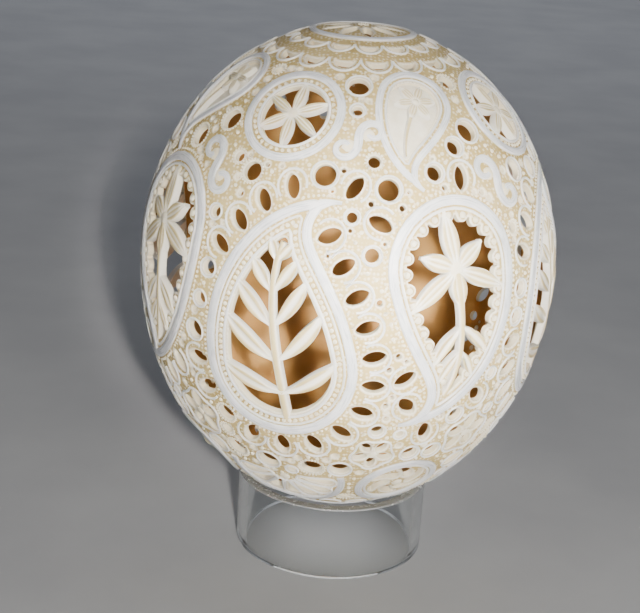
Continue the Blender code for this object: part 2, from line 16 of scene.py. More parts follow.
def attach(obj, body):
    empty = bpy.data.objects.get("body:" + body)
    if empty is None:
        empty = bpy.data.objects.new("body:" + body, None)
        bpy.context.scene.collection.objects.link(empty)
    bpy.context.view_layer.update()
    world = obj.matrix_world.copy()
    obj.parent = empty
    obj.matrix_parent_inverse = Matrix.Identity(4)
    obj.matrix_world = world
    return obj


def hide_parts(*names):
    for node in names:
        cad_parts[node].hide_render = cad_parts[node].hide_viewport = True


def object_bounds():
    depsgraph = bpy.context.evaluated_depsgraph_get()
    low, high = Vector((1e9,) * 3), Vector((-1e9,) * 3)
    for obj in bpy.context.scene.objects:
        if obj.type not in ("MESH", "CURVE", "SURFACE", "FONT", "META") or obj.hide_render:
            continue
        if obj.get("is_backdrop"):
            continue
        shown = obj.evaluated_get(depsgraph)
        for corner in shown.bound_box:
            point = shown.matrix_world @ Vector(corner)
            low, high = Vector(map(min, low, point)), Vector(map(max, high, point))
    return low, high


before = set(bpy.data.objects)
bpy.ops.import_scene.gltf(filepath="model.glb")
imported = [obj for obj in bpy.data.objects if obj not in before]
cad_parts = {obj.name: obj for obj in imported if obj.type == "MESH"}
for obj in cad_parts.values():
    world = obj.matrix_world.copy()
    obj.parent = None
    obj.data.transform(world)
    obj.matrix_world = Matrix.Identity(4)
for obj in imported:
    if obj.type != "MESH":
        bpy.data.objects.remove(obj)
cad_low, cad_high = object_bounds()
MM = 0.001


def in_mm(lengths, digits=2):
    """Lengths in metres as rounded millimetres, to print."""
    return [round(length / MM, digits) for length in lengths]


print("plain model:", in_mm(np.subtract(cad_high, cad_low)), "mm")

# %% [markdown]
# ## Measures
# An ostrich eggshell is about 2 mm thick. The carver leaves the outer skin standing as bands,
# takes the ground between them down by under a millimetre, and pierces the rest right through.
# All sizes here are millimetres, and the drawing is laid from the middle of each motif.

# %% Sizes of the egg and the ring
EGG_HALF_WIDTH = 64.7  # a hair inside the plain model, so that nothing stands out of it
EGG_REACH_UP = 74.1
EGG_REACH_DOWN = 78.6
EGG_LEVEL = 96.1
WALL = 1.9
RELIEF = 0.7
EGG_MIDDLE = np.array([0.0, 0.0, EGG_LEVEL])
EGG_HEART = Vector(EGG_MIDDLE * MM)  # the same in metres, for the camera and the lamps
RING_RADIUS = 30.6
RING_WALL = 3.2
RING_HEIGHT = 24.3
print("egg", 2 * EGG_HALF_WIDTH, "x", EGG_REACH_UP + EGG_REACH_DOWN, "mm, shell", WALL + RELIEF)

# %% [markdown]
# ## Camera
# The photograph looks down on the egg by about 17 degrees from under half a metre, and the
# camera was held a little askew. A pinhole fit of the egg's outline and of the ring's foot gave
# these numbers: the lens as a focal length in pixels, and where the egg's middle falls.

# %% Place the camera
PICTURE = (640, 613)
FOCAL = 1500.0
ELEVATION = math.radians(17.4)
DISTANCE = 0.4705
ROLL = math.radians(3.98)
MIDDLE_AT = (347.1, 259.8)


def place_camera():
    back = Vector((0.0, -math.cos(ELEVATION), math.sin(ELEVATION)))
    level = Vector((1.0, 0.0, 0.0))
    up = back.cross(level)
    right = level * math.cos(ROLL) + up * math.sin(ROLL)
    turn = Matrix((right, back.cross(right), back)).transposed()
    x, y = MIDDLE_AT[0] - PICTURE[0] / 2, PICTURE[1] / 2 - MIDDLE_AT[1]
    aim = Vector((x, y, -FOCAL)).rotation_difference(Vector((0.0, 0.0, -1.0)))
    data = bpy.data.cameras.new("camera")
    data.sensor_width = 36.0
    data.lens = FOCAL * data.sensor_width / PICTURE[0]
    data.clip_start = 0.01
    made = bpy.data.objects.new("camera", data)
    stand = Matrix.Translation(EGG_HEART + DISTANCE * back)
    made.matrix_world = stand @ (turn @ aim.to_matrix()).to_4x4()
    bpy.context.scene.collection.objects.link(made)
    bpy.context.scene.camera = made
    return made


camera = place_camera()
print("lens", round(camera.data.lens, 1), "mm")

# %% [markdown]
# ## Node helpers
# Every finish below is a small node tree. One helper adds a node, sets its own options, and
# fills its sockets with plain values or with another node's output. The others are the few
# steps that nearly every finish takes: mix two colours, ramp a value, make a grain, and raise
# it as bumps. Colours are picked as hex codes, as on a paint card, and changed to the linear
# light that the renderer works in.


# %% Helper for nodes and colours
def paint(code):
    """A hex colour such as D8CCA8 as linear red, green, blue and alpha."""
    values = [int(code[i : i + 2], 16) / 255 for i in (0, 2, 4)]
    return [v / 12.92 if v <= 0.04045 else ((v + 0.055) / 1.055) ** 2.4 for v in values] + [1.0]


def node(tree, kind, sockets, **options):
    """Adds a node. sockets maps a socket to a value or to the output that feeds it."""
    made = tree.nodes.new(kind)
    for name, value in options.items():
        setattr(made, name, value)
    for name, value in sockets.items():
        if isinstance(value, bpy.types.NodeSocket):
            tree.links.new(value, made.inputs[name])
        else:
            made.inputs[name].default_value = value
    return made


def blend_colours(tree, share, first, second, kind="MIX"):
    """The output of a colour mix between two hex codes or outputs."""
    mix = node(tree, "ShaderNodeMix", {0: share}, data_type="RGBA", blend_type=kind)
    for slot, value in ((6, first), (7, second)):
        if isinstance(value, bpy.types.NodeSocket):
            tree.links.new(value, mix.inputs[slot])
        else:
            mix.inputs[slot].default_value = paint(value)
    return mix.outputs[2]


def fade(tree, value, start, stop, low=0.0, high=1.0):
    """The output of a value ramped between two bounds."""
    sockets = {0: value, 1: start, 2: stop, 3: low, 4: high}
    return node(tree, "ShaderNodeMapRange", sockets).outputs[0]


def grain(tree, place, scale, detail=2.0):
    """The output of a noise with about this many grains to the metre."""
    sockets = {"Vector": place, "Scale": scale, "Detail": detail}
    return node(tree, "ShaderNodeTexNoise", sockets).outputs["Fac"]


def emboss(tree, shader, height, strength, metres):
    """Raises bumps on a finish."""
    sockets = {"Height": height, "Strength": strength, "Distance": metres}
    bump = node(tree, "ShaderNodeBump", sockets)
    tree.links.new(bump.outputs[0], shader.inputs["Normal"])


def new_finish(name):
    finish = bpy.data.materials.new(name)
    finish.use_nodes = True
    return finish, finish.node_tree, finish.node_tree.nodes["Principled BSDF"]


print("helpers ready")

# %% [markdown]
# ## Floor and light
# The egg stands on a plain grey sheet that runs far back. The main lamp stands beside the
# camera, a little to the right and hardly above it, so the egg's shadow falls behind it and
# peeps out on the left. A narrow one makes the middle of the egg the brightest spot, as a
# flash does, a broad one softens the right side, and two behind light the sheet and the back.
# A renderer's lamps don't shine through clear acrylic or eggshell, although daylight does, so
# a faint one lights the sheet inside the ring, and another the inside of the egg. A pale
# surround fills the rest.


# %% Floor
def paper_sheet():
    finish, tree, shader = new_finish("paper_sheet")
    place = node(tree, "ShaderNodeTexCoord", {}).outputs["Object"]
    mottle = fade(tree, grain(tree, place, 14.0, 4.0), 0.35, 0.65)
    tree.links.new(blend_colours(tree, mottle, "C0C2C6", "CACCCF"), shader.inputs["Base Color"])
    emboss(tree, shader, grain(tree, place, 900.0), 0.15, 0.2 * MM)
    shader.inputs["Roughness"].default_value = 0.8
    return finish


SHEET_SIDE = 8.0  # metres
SHEET_DROP = 0.1 * MM  # a hair below the ring's foot, so that the two don't flicker

bpy.ops.object.select_all(action="DESELECT")
bpy.ops.mesh.primitive_plane_add(size=SHEET_SIDE, location=(0.0, 0.0, -SHEET_DROP))
floor = bpy.context.object
floor.name = "floor"
floor.data.materials.append(paper_sheet())
floor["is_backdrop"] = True
print("floor", floor.dimensions.x, "m wide")

# %% [markdown]
# Each lamp is a square of light, set up as a flash head is on its stand: at a distance and two
# angles from the egg's middle, and turned to what it lights. A small lamp gives hard shadows,
# and a large one gives soft ones.


# %% Lamps and surround
def add_lamp(name, azimuth, elevation, distance, size, watts, colour, aim=EGG_HEART, spread=180):
    """A square lamp, placed by its angles and distance, in metres, from the egg's middle."""
    a, e = math.radians(azimuth), math.radians(elevation)
    way = Vector((math.sin(a) * math.cos(e), -math.cos(a) * math.cos(e), math.sin(e)))
    data = bpy.data.lights.new(name, "AREA")
    data.size = size
    data.energy = watts
    data.color = paint(colour)[:3]
    data.spread = math.radians(spread)
    made = bpy.data.objects.new(name, data)
    made.location = EGG_HEART + distance * way
    made.rotation_mode = "QUATERNION"
    made.rotation_quaternion = (made.location - Vector(aim)).to_track_quat("Z", "Y")
    bpy.context.scene.collection.objects.link(made)
    return made


def add_surround(colour, strength):
    world = bpy.data.worlds.new("surround")
    world.use_nodes = True
    sky = world.node_tree.nodes["Background"]
    sky.inputs["Color"].default_value = paint(colour)
    sky.inputs["Strength"].default_value = strength
    bpy.context.scene.world = world


lamps = [  # azimuth, elevation, distance, size and watts of each
    add_lamp("key", 7, 19, 0.8, 0.035, 5.3, "FFFAF2"),
    add_lamp("middle", 8, 17, 0.8, 0.035, 0.11, "FFFAF2", aim=(0.006, 0.0, 0.09), spread=11),
    add_lamp("fill", 42, 8, 0.75, 0.45, 0.65, "FBFBFF"),
    add_lamp("backdrop", 180, 38, 1.6, 1.2, 3.4, "F4F7FF", aim=(0.0, 1.6, 0.0)),
    add_lamp("ring_glow", 0, -90, 0.0801, 0.036, 0.0028, "FFFFFF", aim=(0.0, 0.0, 0.0)),
    add_lamp("shell_glow", 0, 0, 0.0, 0.05, 0.006, "FFEBD0", aim=(0.0, 0.06, 0.09)),
    add_lamp("soft_box", 180, 22, 3.0, 4.0, 17.0, "F4F7FF"),
]
add_surround("C4C7CC", 0.075)
print(len(lamps), "lamps and a pale surround")

# %% [markdown]
# ## Drawing on an egg
# A flat drawing can't lie on an egg without stretching somewhere, so each motif is laid from
# its own middle: a point so many millimetres away along the paper goes as far round the egg.
# What comes back is a longitude and a latitude, and a second step gives the point in space,
# at any depth below the skin.


# %% From millimetres to the egg
def reach_of(height):
    """The egg's reach along its axis: its blunt end is a little shorter than its other end."""
    return np.where(height > 0, EGG_REACH_UP, EGG_REACH_DOWN)


def to_places(rays):
    """Longitude and latitude of the points of the egg that rays from its middle meet."""
    across = np.hypot(rays[:, 0], rays[:, 1])
    tilt = np.arctan2(rays[:, 2] * EGG_HALF_WIDTH, across * reach_of(rays[:, 2]))
    return np.column_stack([np.arctan2(rays[:, 0], -rays[:, 1]), tilt])


def on_egg(places, depth=0.0):
    """Points in millimetres from the egg's middle, a depth below its outer skin."""
    longitude, latitude = places[:, 0], places[:, 1]
    out = reach_of(latitude) * np.cos(latitude)
    up = EGG_HALF_WIDTH * np.sin(latitude)
    size = np.hypot(out, up)
    radius = EGG_HALF_WIDTH * np.cos(latitude) - depth * out / size
    height = reach_of(latitude) * np.sin(latitude) - depth * up / size
    return np.column_stack([radius * np.sin(longitude), -radius * np.cos(longitude), height])


def lay(points, spot):
    """Lays a flat drawing on the egg at (longitude, latitude, turn, size)."""
    longitude, latitude, turn = (math.radians(angle) for angle in spot[:3])
    x = spot[3] * (points[:, 0] * math.cos(turn) - points[:, 1] * math.sin(turn))
    y = spot[3] * (points[:, 0] * math.sin(turn) + points[:, 1] * math.cos(turn))
    east = np.array([math.cos(longitude), math.sin(longitude), 0.0])
    out = on_egg(np.array([[longitude, latitude]]))[0]
    reach = np.linalg.norm(out)
    out = out / reach
    far = np.maximum(np.hypot(x, y), 1e-9)
    side = (x[:, None] * east + y[:, None] * np.cross(out, east)) / far[:, None]
    return to_places(out * np.cos(far / reach)[:, None] + side * np.sin(far / reach)[:, None])


middle_of_front = on_egg(lay(np.zeros((1, 2)), (0, 0, 0, 1)))[0]
print("the front of the egg is at", middle_of_front.round(1))

# %% [markdown]
# ## One flat sheet for the whole egg
# To fill the shell between all its openings at once, the egg is also unrolled onto a single
# flat sheet, as a polar map of the world is: the top in the middle and the bottom far out.
# This map keeps angles, so triangles that are good on the sheet are good on the egg.

# %% To the sheet and back
STEPS = np.linspace(-6.0, 6.0, 1201)
LEAN = 2 * np.arctan(np.exp(STEPS))
STRETCH = np.hypot(np.cos(LEAN), reach_of(-STEPS) / EGG_HALF_WIDTH * np.sin(LEAN))
GROWTH = np.concatenate([[0.0], np.cumsum((STRETCH[1:] + STRETCH[:-1]) / 2 * np.diff(STEPS))])
GROWTH = GROWTH - np.interp(0.0, STEPS, GROWTH)


def to_sheet(places):
    down = np.log(np.tan(np.clip((math.pi / 2 - places[:, 1]) / 2, 1e-4, 1.5706)))
    radius = np.exp(np.interp(down, STEPS, GROWTH))
    return np.column_stack([radius * np.sin(places[:, 0]), -radius * np.cos(places[:, 0])])


def inside(points, shape):
    """Which points lie inside a closed outline, both on the sheet."""
    found = np.zeros(len(points), bool)
    low, high = shape.min(axis=0), shape.max(axis=0)
    near = np.nonzero(((points > low) & (points < high)).all(axis=1))[0]
    x, y = points[near, 0], points[near, 1]
    odd = np.zeros(len(near), bool)
    for (x0, y0), (x1, y1) in zip(shape, np.roll(shape, -1, axis=0)):
        if y0 != y1:
            odd ^= ((y0 > y) != (y1 > y)) & (x < x0 + (y - y0) / (y1 - y0) * (x1 - x0))
    found[near] = odd
    return found


print("the sheet reaches", round(float(np.exp(GROWTH[-1])), 1), "times the waist's radius")

# %% [markdown]
# ## Strokes
# Almost all carved ornament is made of strokes: a line that swells and thins, like one drawn
# with a brush. A stroke here is a path with a radius at each of its points. From it come a
# window's outline, a leaf, a band, or a row of beads that runs beside it.


# %% Paths and their outlines
FINE_END = 0.25


def spine(x, y, heading, length, bend=0.0, late=1.0, count=24):
    """A path that starts at x, y on a heading in degrees, and turns by bend, the later the more."""
    along = np.linspace(0, 1, count)
    angle = np.radians(heading + bend * along**late)
    middle = (angle[1:] + angle[:-1]) / 2
    step = length / (count - 1)
    return np.column_stack(
        [
            x + step * np.concatenate([[0], np.cumsum(np.cos(middle))]),
            y + step * np.concatenate([[0], np.cumsum(np.sin(middle))]),
        ]
    )


def compass(angles):
    """Points one millimetre away in each of these directions, in radians."""
    return np.column_stack([np.cos(angles), np.sin(angles)])


def to_left(ahead):
    """Each of these directions, turned a quarter to the left."""
    return np.column_stack([-ahead[:, 1], ahead[:, 0]])


def round_end(centre, radius, start, stop, per_half_turn):
    """The points between two directions round the end of a stroke. A fine end is one point."""
    if radius < FINE_END:
        return np.array([centre])
    count = max(1, round(per_half_turn * (stop - start) / math.pi))
    angle = np.linspace(start, stop, count + 1)[1:-1]
    return centre + radius * compass(angle)


def outline(path, radius, per_half_turn=16):
    """The closed edge of a stroke, walked with the stroke on the left."""
    step = np.gradient(path, axis=0)
    length = np.hypot(step[:, 0], step[:, 1])
    ahead = step / length[:, None]
    side = to_left(ahead)
    lean = np.clip(-np.gradient(radius) / length, -0.95, 0.95)
    spread = np.sqrt(1 - lean**2)
    left = path + radius[:, None] * (lean[:, None] * ahead + spread[:, None] * side)
    right = path + radius[:, None] * (lean[:, None] * ahead - spread[:, None] * side)
    heading = np.arctan2(ahead[:, 1], ahead[:, 0])
    back, front = math.acos(lean[0]), math.acos(lean[-1])
    end = round_end(path[-1], radius[-1], heading[-1] - front, heading[-1] + front, per_half_turn)
    start = round_end(
        path[0], radius[0], heading[0] + back, heading[0] + 2 * math.pi - back, per_half_turn
    )
    first = 1 if radius[0] < FINE_END else 0
    last = len(path) - 1 if radius[-1] < FINE_END else len(path)
    return np.vstack([right[first:last], end, left[first:last][::-1], start])


def circle(radius, x=0.0, y=0.0, count=48):
    return (x, y) + radius * compass(np.linspace(0, 2 * math.pi, count, endpoint=False))


def arc(middle, radius, heading, half_angle, count):
    """Part of a circle, as far to both sides of a heading as the half angle, in degrees."""
    turns = np.radians(np.linspace(-half_angle, half_angle, count) + heading)
    return middle + radius * compass(turns)


def polar(radius, angle):
    """x, y of a point at a radius and an angle in degrees."""
    return radius * math.cos(math.radians(angle)), radius * math.sin(math.radians(angle))


def swell(half_width, front=1.0, least=0.3, count=24):
    """The radius of a leaf along its length: nothing at its ends and full between."""
    along = np.linspace(0, 1, count)
    return np.maximum(half_width * np.sin(math.pi * along**front) ** 0.85, least)


sample = outline(spine(0, 0, 90, 10), swell(2))
print("a 10 mm leaf's outline has", len(sample), "points")

# %% [markdown]
# A stroke's outline has its points crowded at the ends and far apart along the sides, and
# triangles filled in between would be slivers. So the points are spaced anew, and only true
# corners stay where they are.


# %% Even spacing along an outline
def runs(points):
    """How far along a path each of its points is."""
    return np.concatenate([[0], np.cumsum(np.hypot(*np.diff(points, axis=0).T))])


def points_at(at, run, path):
    """The points of a path at these distances along it."""
    return np.column_stack([np.interp(at, run, path[:, axis]) for axis in (0, 1)])


def even(loop, pitch, sharpest=40):
    """The same closed outline with its points evenly spaced and its sharp corners kept."""
    ahead = np.roll(loop, -1, axis=0) - loop
    loop = loop[np.hypot(*ahead.T) > 0.02]
    ahead = np.roll(loop, -1, axis=0) - loop
    heading = np.arctan2(ahead[:, 1], ahead[:, 0])
    turn = np.abs((heading - np.roll(heading, 1) + math.pi) % (2 * math.pi) - math.pi)
    corners = np.nonzero(turn > math.radians(sharpest))[0]
    corners = corners if len(corners) else np.array([0])
    made = []
    for start, stop in zip(corners, np.append(corners[1:], corners[0] + len(loop))):
        piece = loop[np.arange(start, stop + 1) % len(loop)]
        run = runs(piece)
        at = np.linspace(0, run[-1], max(1, round(run[-1] / pitch)) + 1)[:-1]
        made.append(points_at(at, run, piece))
    return np.vstack(made)


def walk_round(path, radius):
    """A stroke's edge, back to where it starts, and how far along it each point is."""
    edge = outline(path, radius, 40)
    edge = np.vstack([edge, edge[:1]])
    return edge, runs(edge)


def beside(path, radius, offset, pitch):
    """Evenly spaced points round a stroke grown by offset, and the heading of each in degrees."""
    edge, run = walk_round(path, np.maximum(radius + offset, 0.3))
    count = max(3, round(run[-1] / pitch))
    at = np.arange(count) * run[-1] / count
    before, here, after = (points_at((at + s) % run[-1], run, edge) for s in (-0.4, 0.0, 0.4))
    ahead = after - before
    return here, np.degrees(np.arctan2(ahead[:, 1], ahead[:, 0]))


print("the leaf again, evenly spaced:", len(even(sample, 0.85)), "points")

# %% [markdown]
# ## The lists that the drawing fills
# Each motif below adds to these lists and nothing else. What is cut and what is raised is made
# from them later, all at once, so that the whole shell stays one piece.

# %% Empty lists
windows = []  # outlines on the egg that are cut right through
hollows = []  # outlines that are only sunk into the shell
taken_up = []  # outlines that the drilled dots stay out of
leaves = []  # (path, radius, spot, kind) of the leaves, petals and stems left standing
bands = []  # (path, half-width, spot, closed) of the smooth bands of outer skin
ridges = []  # (path, half-width, spot, closed) of the fine raised lines
beads = []  # (points, radius, spot)
loose_pearls = []  # the same, for rows that leave out the beads that would meet a neighbour
EDGE_PITCH = 0.85  # millimetres from point to point along an opening's edge
FINE_PITCH = 0.6  # the same for a small opening
BAND_PITCH = 1.1
RIDGE_PITCH = 1.0


def cut(loop, spot, pitch=EDGE_PITCH):
    windows.append(lay(even(loop, pitch), spot))


def claim(loop, spot):
    taken_up.append(lay(loop, spot))


def closed_band(loop, half_width, spot):
    bands.append((even(loop, BAND_PITCH), half_width, spot, True))


def closed_ridge(loop, spot, half_width=0.45):
    ridges.append((even(loop, RIDGE_PITCH), half_width, spot, True))


def petals(lengths, half_width, least, spot, kind="petal"):
    """Petals that stand round a middle, one for each of these lengths."""
    for number, length in enumerate(lengths):
        path = spine(0, 0, 90 + 360 / len(lengths) * number, length)
        leaves.append((path, swell(half_width, least=least), spot, kind))


def boss(radius, spot, middle=(0.0, 0.0)):
    """One bead, as at the heart of a flower."""
    beads.append((np.array([middle]), radius, spot))


print("drawing lists are empty")

# %% [markdown]
# ## Paisleys
# The paisley is a drop with a curled tip, an old ornament of woven shawls. Two large ones make
# each repeat of the design: one stands on its head and holds a sprig of leaves, the other hangs
# and holds a daisy. A band of skin follows each edge, with fine ridges and beads inside it.

# %% The paisley's shape
SPRIG_BODY = (90, 23.0, 58.0, -105, 3.0)  # heading, head radius, length, bend, how late it bends
DAISY_BODY = (-90, 20.5, 56.0, -100, 2.8)
DROP_BODY = (-90, 11.0, 30.0, 80, 2.4)
BAND_WIDTH = 2.8
SPRIG_WINDOW = 7.2  # how far in from the paisley's edge its window lies
DAISY_WINDOW = 5.4
PEARL_OUTSET = 0.95
DOTS_KEEP_OFF = 0.6


def paisley_body(body, count=61):
    """Path and radius of a paisley: a round head that draws out to a curled tip."""
    heading, head, length, bend, late = body
    path = spine(0, 0, heading, length, bend, late, count)
    along = np.linspace(0, 1, count)
    return path, 0.5 + (head - 0.5) * ((1 + np.cos(math.pi * along)) / 2) ** 0.85


def inset(path, radius, depth, least):
    """The same stroke, thinner all round, and ended where it would get too thin."""
    stays = radius - depth > least
    return path[stays], radius[stays] - depth


def edge_band(body, width, spot):
    """The band of skin along a paisley's edge, with its two sides drawn together at the tip."""
    path, radius = paisley_body(body)
    closed_band(outline(*inset(path, radius, width / 2, 0.45)), width / 2, spot)
    tail = radius < width
    taper = np.minimum(radius[tail], width / 2)
    bands.append((path[tail], taper, spot, False))
    claim(outline(path, radius + DOTS_KEEP_OFF), spot)
    if body is not DROP_BODY:
        pearls, _ = beside(path, radius, PEARL_OUTSET, 1.5)
        loose_pearls.append((pearls, 0.42, spot))


def place_on(path, distance):
    """x, y and heading at a distance along a path. Before its start it runs straight."""
    run = runs(path)
    steps = np.diff(path, axis=0)
    index = int(np.clip(np.searchsorted(run, distance) - 1, 0, len(steps) - 1))
    ahead = steps[index] / np.hypot(*steps[index])
    x, y = path[index] + ahead * (distance - run[index])
    return x, y, math.degrees(math.atan2(ahead[1], ahead[0]))


LONGEST_LEAF = 40.0


def length_to_edge(x, y, heading, bend, window, over):
    """How long a leaf from x, y has to be to end a little past the window's edge."""
    path, radius = window
    for length in np.arange(3.0, LONGEST_LEAF, 0.5):
        tip = spine(x, y, heading, length, bend, count=6)[-1]
        if np.max(radius - np.hypot(*(path - tip).T)) < -over:
            return length
    return LONGEST_LEAF


print("paisley head", 2 * SPRIG_BODY[1], "mm wide")

# %% [markdown]
# The sprig has one stem, which follows the paisley's own path, with pairs of leaves that get
# smaller towards the tip. Each leaf is as long as it takes to reach the window's edge, since a
# leaf of eggshell that hung free would break off.

# %% The sprig paisley
SPRIG_LEAVES = (
    (-8.5, 78, 30, 2.1),
    (1.5, 58, 22, 2.3),
    (12.0, 46, 14, 2.2),
    (22.0, 40, 8, 1.9),
    (31.0, 34, 4, 1.5),
)


def leaf_pairs(pairs, path, window, spot):
    """Pairs of leaves on a stem: place along it, spread, bend and half-width."""
    for at, spread, bend, half_width in pairs:
        x, y, ahead = place_on(path, at)
        for side in (-1, 1):
            heading = ahead + side * spread
            length = length_to_edge(x, y, heading, -side * bend, window, 1.5)
            leaf = spine(x, y, heading, length, -side * bend)
            leaves.append((leaf, swell(half_width, 1.15, 0.55), spot, "leaf"))


def sprig_paisley(spot):
    path, radius = paisley_body(SPRIG_BODY)
    window = inset(path, radius, SPRIG_WINDOW, 0.8)
    edge_band(SPRIG_BODY, BAND_WIDTH, spot)
    cut(outline(*window), spot)
    closed_ridge(outline(*inset(path, radius, SPRIG_WINDOW - 1.0, 0.5)), spot, 0.5)
    closed_ridge(outline(*inset(path, radius, 3.6, 0.5)), spot, 0.35)
    pearls, _ = beside(*inset(path, radius, 4.9, 0.3), 0, 1.75)
    beads.append((pearls, 0.62, spot))
    foot = np.array([[0.0, -window[1][0] - 1.5]])
    stem = np.vstack([foot, window[0]])
    leaves.append((stem, np.linspace(1.25, 0.8, len(stem)), spot, "stem"))
    leaf_pairs(SPRIG_LEAVES, path, window, spot)


sprig_paisley((-16, -10, 8, 1.0))
print(len(leaves), "leaves and stems in one sprig")
for filled in (windows, hollows, taken_up, leaves, bands, ridges, beads, loose_pearls):
    filled.clear()

# %% [markdown]
# The daisy's window is edged with scallops: half-rounds of shell left standing along its edge,
# each with a bead. They are drawn straight into the outline, as bites that it makes inwards.

# %% The daisy paisley
LOBE_RADIUS = 1.9
LOBE_PITCH = 4.5
DAISY_LEAVES = ((17.0, 52, 20, 1.8), (24.5, 42, 20, 1.5))
FREE_PETAL = 11.5  # every other petal ends inside the window
NARROW_WINDOW = 3.6  # where a window is slimmer than this to each side, it has no lobes


def scalloped(path, radius):
    """A window's outline with half-round lobes, and the lobes' middles."""
    edge, run = walk_round(path, radius)
    count = round(run[-1] / LOBE_PITCH)
    pitch = run[-1] / count
    made, middles = [], []
    theta = np.linspace(0, math.pi, 9)
    for lobe in range(count):
        at = (lobe + 0.5) * pitch
        middle = points_at([at], run, edge)[0]
        nearest = int(np.argmin(np.hypot(*(path - middle).T) - radius))
        wide = radius[nearest] > NARROW_WINDOW
        depth = LOBE_RADIUS * np.sin(theta) * wide
        spots = at - LOBE_RADIUS * np.cos(theta)
        here, ahead = (points_at((spots + s) % run[-1], run, edge) for s in (-0.2, 0.2))
        along = (ahead - here) / np.hypot(*(ahead - here).T)[:, None]
        made.append((here + ahead) / 2 + depth[:, None] * to_left(along))
        if wide:
            middles.append(middle)
    return np.vstack(made), np.array(middles)


def daisy_paisley(spot):
    path, radius = paisley_body(DAISY_BODY)
    window = inset(path, radius, DAISY_WINDOW, 0.8)
    edge_band(DAISY_BODY, BAND_WIDTH, spot)
    loop, middles = scalloped(*window)
    cut(loop, spot, 0.7)
    beads.append((middles, 0.95, spot))
    closed_ridge(outline(*inset(path, radius, 3.7, 0.5)), spot)
    boss(2.4, spot)
    lengths = [length_to_edge(0, 0, 90 + 60 * petal, 0, window, 1.0) for petal in range(6)]
    lengths[1::2] = [FREE_PETAL] * 3
    petals(lengths, 2.6, 0.5, spot)
    stem = path[runs(path) < runs(path)[len(window[0]) - 1] + 2]
    leaves.append((stem, np.linspace(1.3, 0.7, len(stem)), spot, "stem"))
    leaf_pairs(DAISY_LEAVES, path, window, spot)


print("daisy paisley ready,", LOBE_PITCH, "mm from lobe to lobe")

# %% [markdown]
# ## Smaller motifs
# Between the paisleys sit rounds and drops: a star in a round window, a wheel of pierced
# commas, a fan of pierced rays, and a small solid drop with a flower in low relief.


# %% Star, wheel and drop
STAR_RADIUS, STAR_BAND, STAR_WINDOW = 15.0, 1.2, 9.8
WHEEL_RADIUS, WHEEL_BAND = 13.0, 1.1


def star_medallion(spot):
    closed_band(circle(STAR_RADIUS - STAR_BAND), STAR_BAND, spot)
    claim(circle(STAR_RADIUS), spot)
    cut(circle(STAR_WINDOW, count=90), spot)
    closed_ridge(circle(STAR_WINDOW + 0.7), spot)
    beads.append((circle(11.6, count=38), 0.55, spot))
    boss(1.7, spot)
    petals([STAR_WINDOW + 1.0] * 6, 1.55, 0.45, spot)


def comma_wheel(spot):
    closed_band(circle(WHEEL_RADIUS - WHEEL_BAND), WHEEL_BAND, spot)
    claim(circle(WHEEL_RADIUS), spot)
    closed_ridge(circle(10.1), spot)
    boss(1.6, spot)
    for arm in range(6):
        path = spine(*polar(4.6, 60 * arm), 60 * arm + 40, 6.9, 75)
        cut(outline(path, 1.3 * np.linspace(1, 0, 24) ** 0.6 + 0.35), spot, FINE_PITCH)


def small_drop(spot):
    path, radius = paisley_body(DROP_BODY)
    edge_band(DROP_BODY, 2.0, spot)
    closed_ridge(outline(*inset(path, radius, 3.0, 0.5)), spot, 0.35)
    petals([6.3] * 6, 1.35, 0.2, spot, "relief")
    boss(1.2, spot)
    hollow = inset(path, radius, 3.8, 0.5)
    hollows.append(lay(even(outline(*hollow), EDGE_PITCH), spot))
    stalk = path[(runs(path) > 5.5) & (runs(path) < runs(path)[len(hollow[0]) - 1] + 0.5)]
    leaves.append((stalk, np.linspace(0.75, 0.35, len(stalk)), spot, "stem"))


print("three small motifs ready")

# %% [markdown]
# The last three are laid lightest. A blossom's petals are openings, the other way round from
# the daisy's. A fan's rays are too, under a band, and a scroll is a ribbon of skin that rolls up
# at both ends and leads the eye from one repeat to the next.


# %% Blossom, fan and scroll
BLOSSOM_RADIUS = 8.2
FAN_RADIUS = 14.5


def blossom(spot):
    """A flower of pierced petals round a bead, each petal under its own arch."""
    boss(1.35, spot)
    rim = []
    for petal in range(5):
        heading = 90 + 72 * petal
        path = spine(*polar(1.9, heading), heading, 5.6)
        cut(outline(path, swell(1.8)), spot, FINE_PITCH)
        rim.append(arc(np.array(polar(4.9, heading)), 3.6, heading, 62, 13))
    rim = np.vstack(rim)
    closed_ridge(rim, spot)
    claim(rim, spot)


def fan(spot):
    """Pierced rays under a half-round band."""
    rim = compass(np.radians(np.linspace(1, 179, 30)))
    bands.append((FAN_RADIUS * rim, np.full(30, 0.9), spot, False))
    claim(np.vstack([(FAN_RADIUS + 0.9) * rim, 2.2 * rim[::-1]]), spot)
    for ray in range(7):
        heading = 15 + 25 * ray
        along = np.linspace(0, 1, 14)
        path = spine(*polar(4.5, heading), heading, 6.5, count=14)
        cut(outline(path, 0.45 + 1.05 * along**1.2), spot, FINE_PITCH)
        closed_ridge(outline(path, 1.35 + 1.05 * along**1.2), spot, 0.3)
    gaps = [polar(12.4, 27.5 + 25 * gap) for gap in range(6)]
    beads.append((np.array(gaps), 0.6, spot))
    boss(1.6, spot, (0.0, 1.2))


def scroll(spot, bend):
    """A raised ribbon that rolls up at both ends, each round a bead."""
    half = spine(0, 0, 0, 19, bend, 1.6, count=40)
    half_width = np.linspace(1.5, 0.8, 40)
    path = np.vstack([-half[::-1][:-1], half])
    radius = np.concatenate([half_width[::-1][:-1], half_width])
    bands.append((path, radius, spot, False))
    claim(outline(path, radius + 0.8), spot)
    for end in (half[-1], -half[-1]):
        boss(1.9, spot, end)
        claim(circle(2.6, *end), spot)


print("blossom, fan and scroll ready")

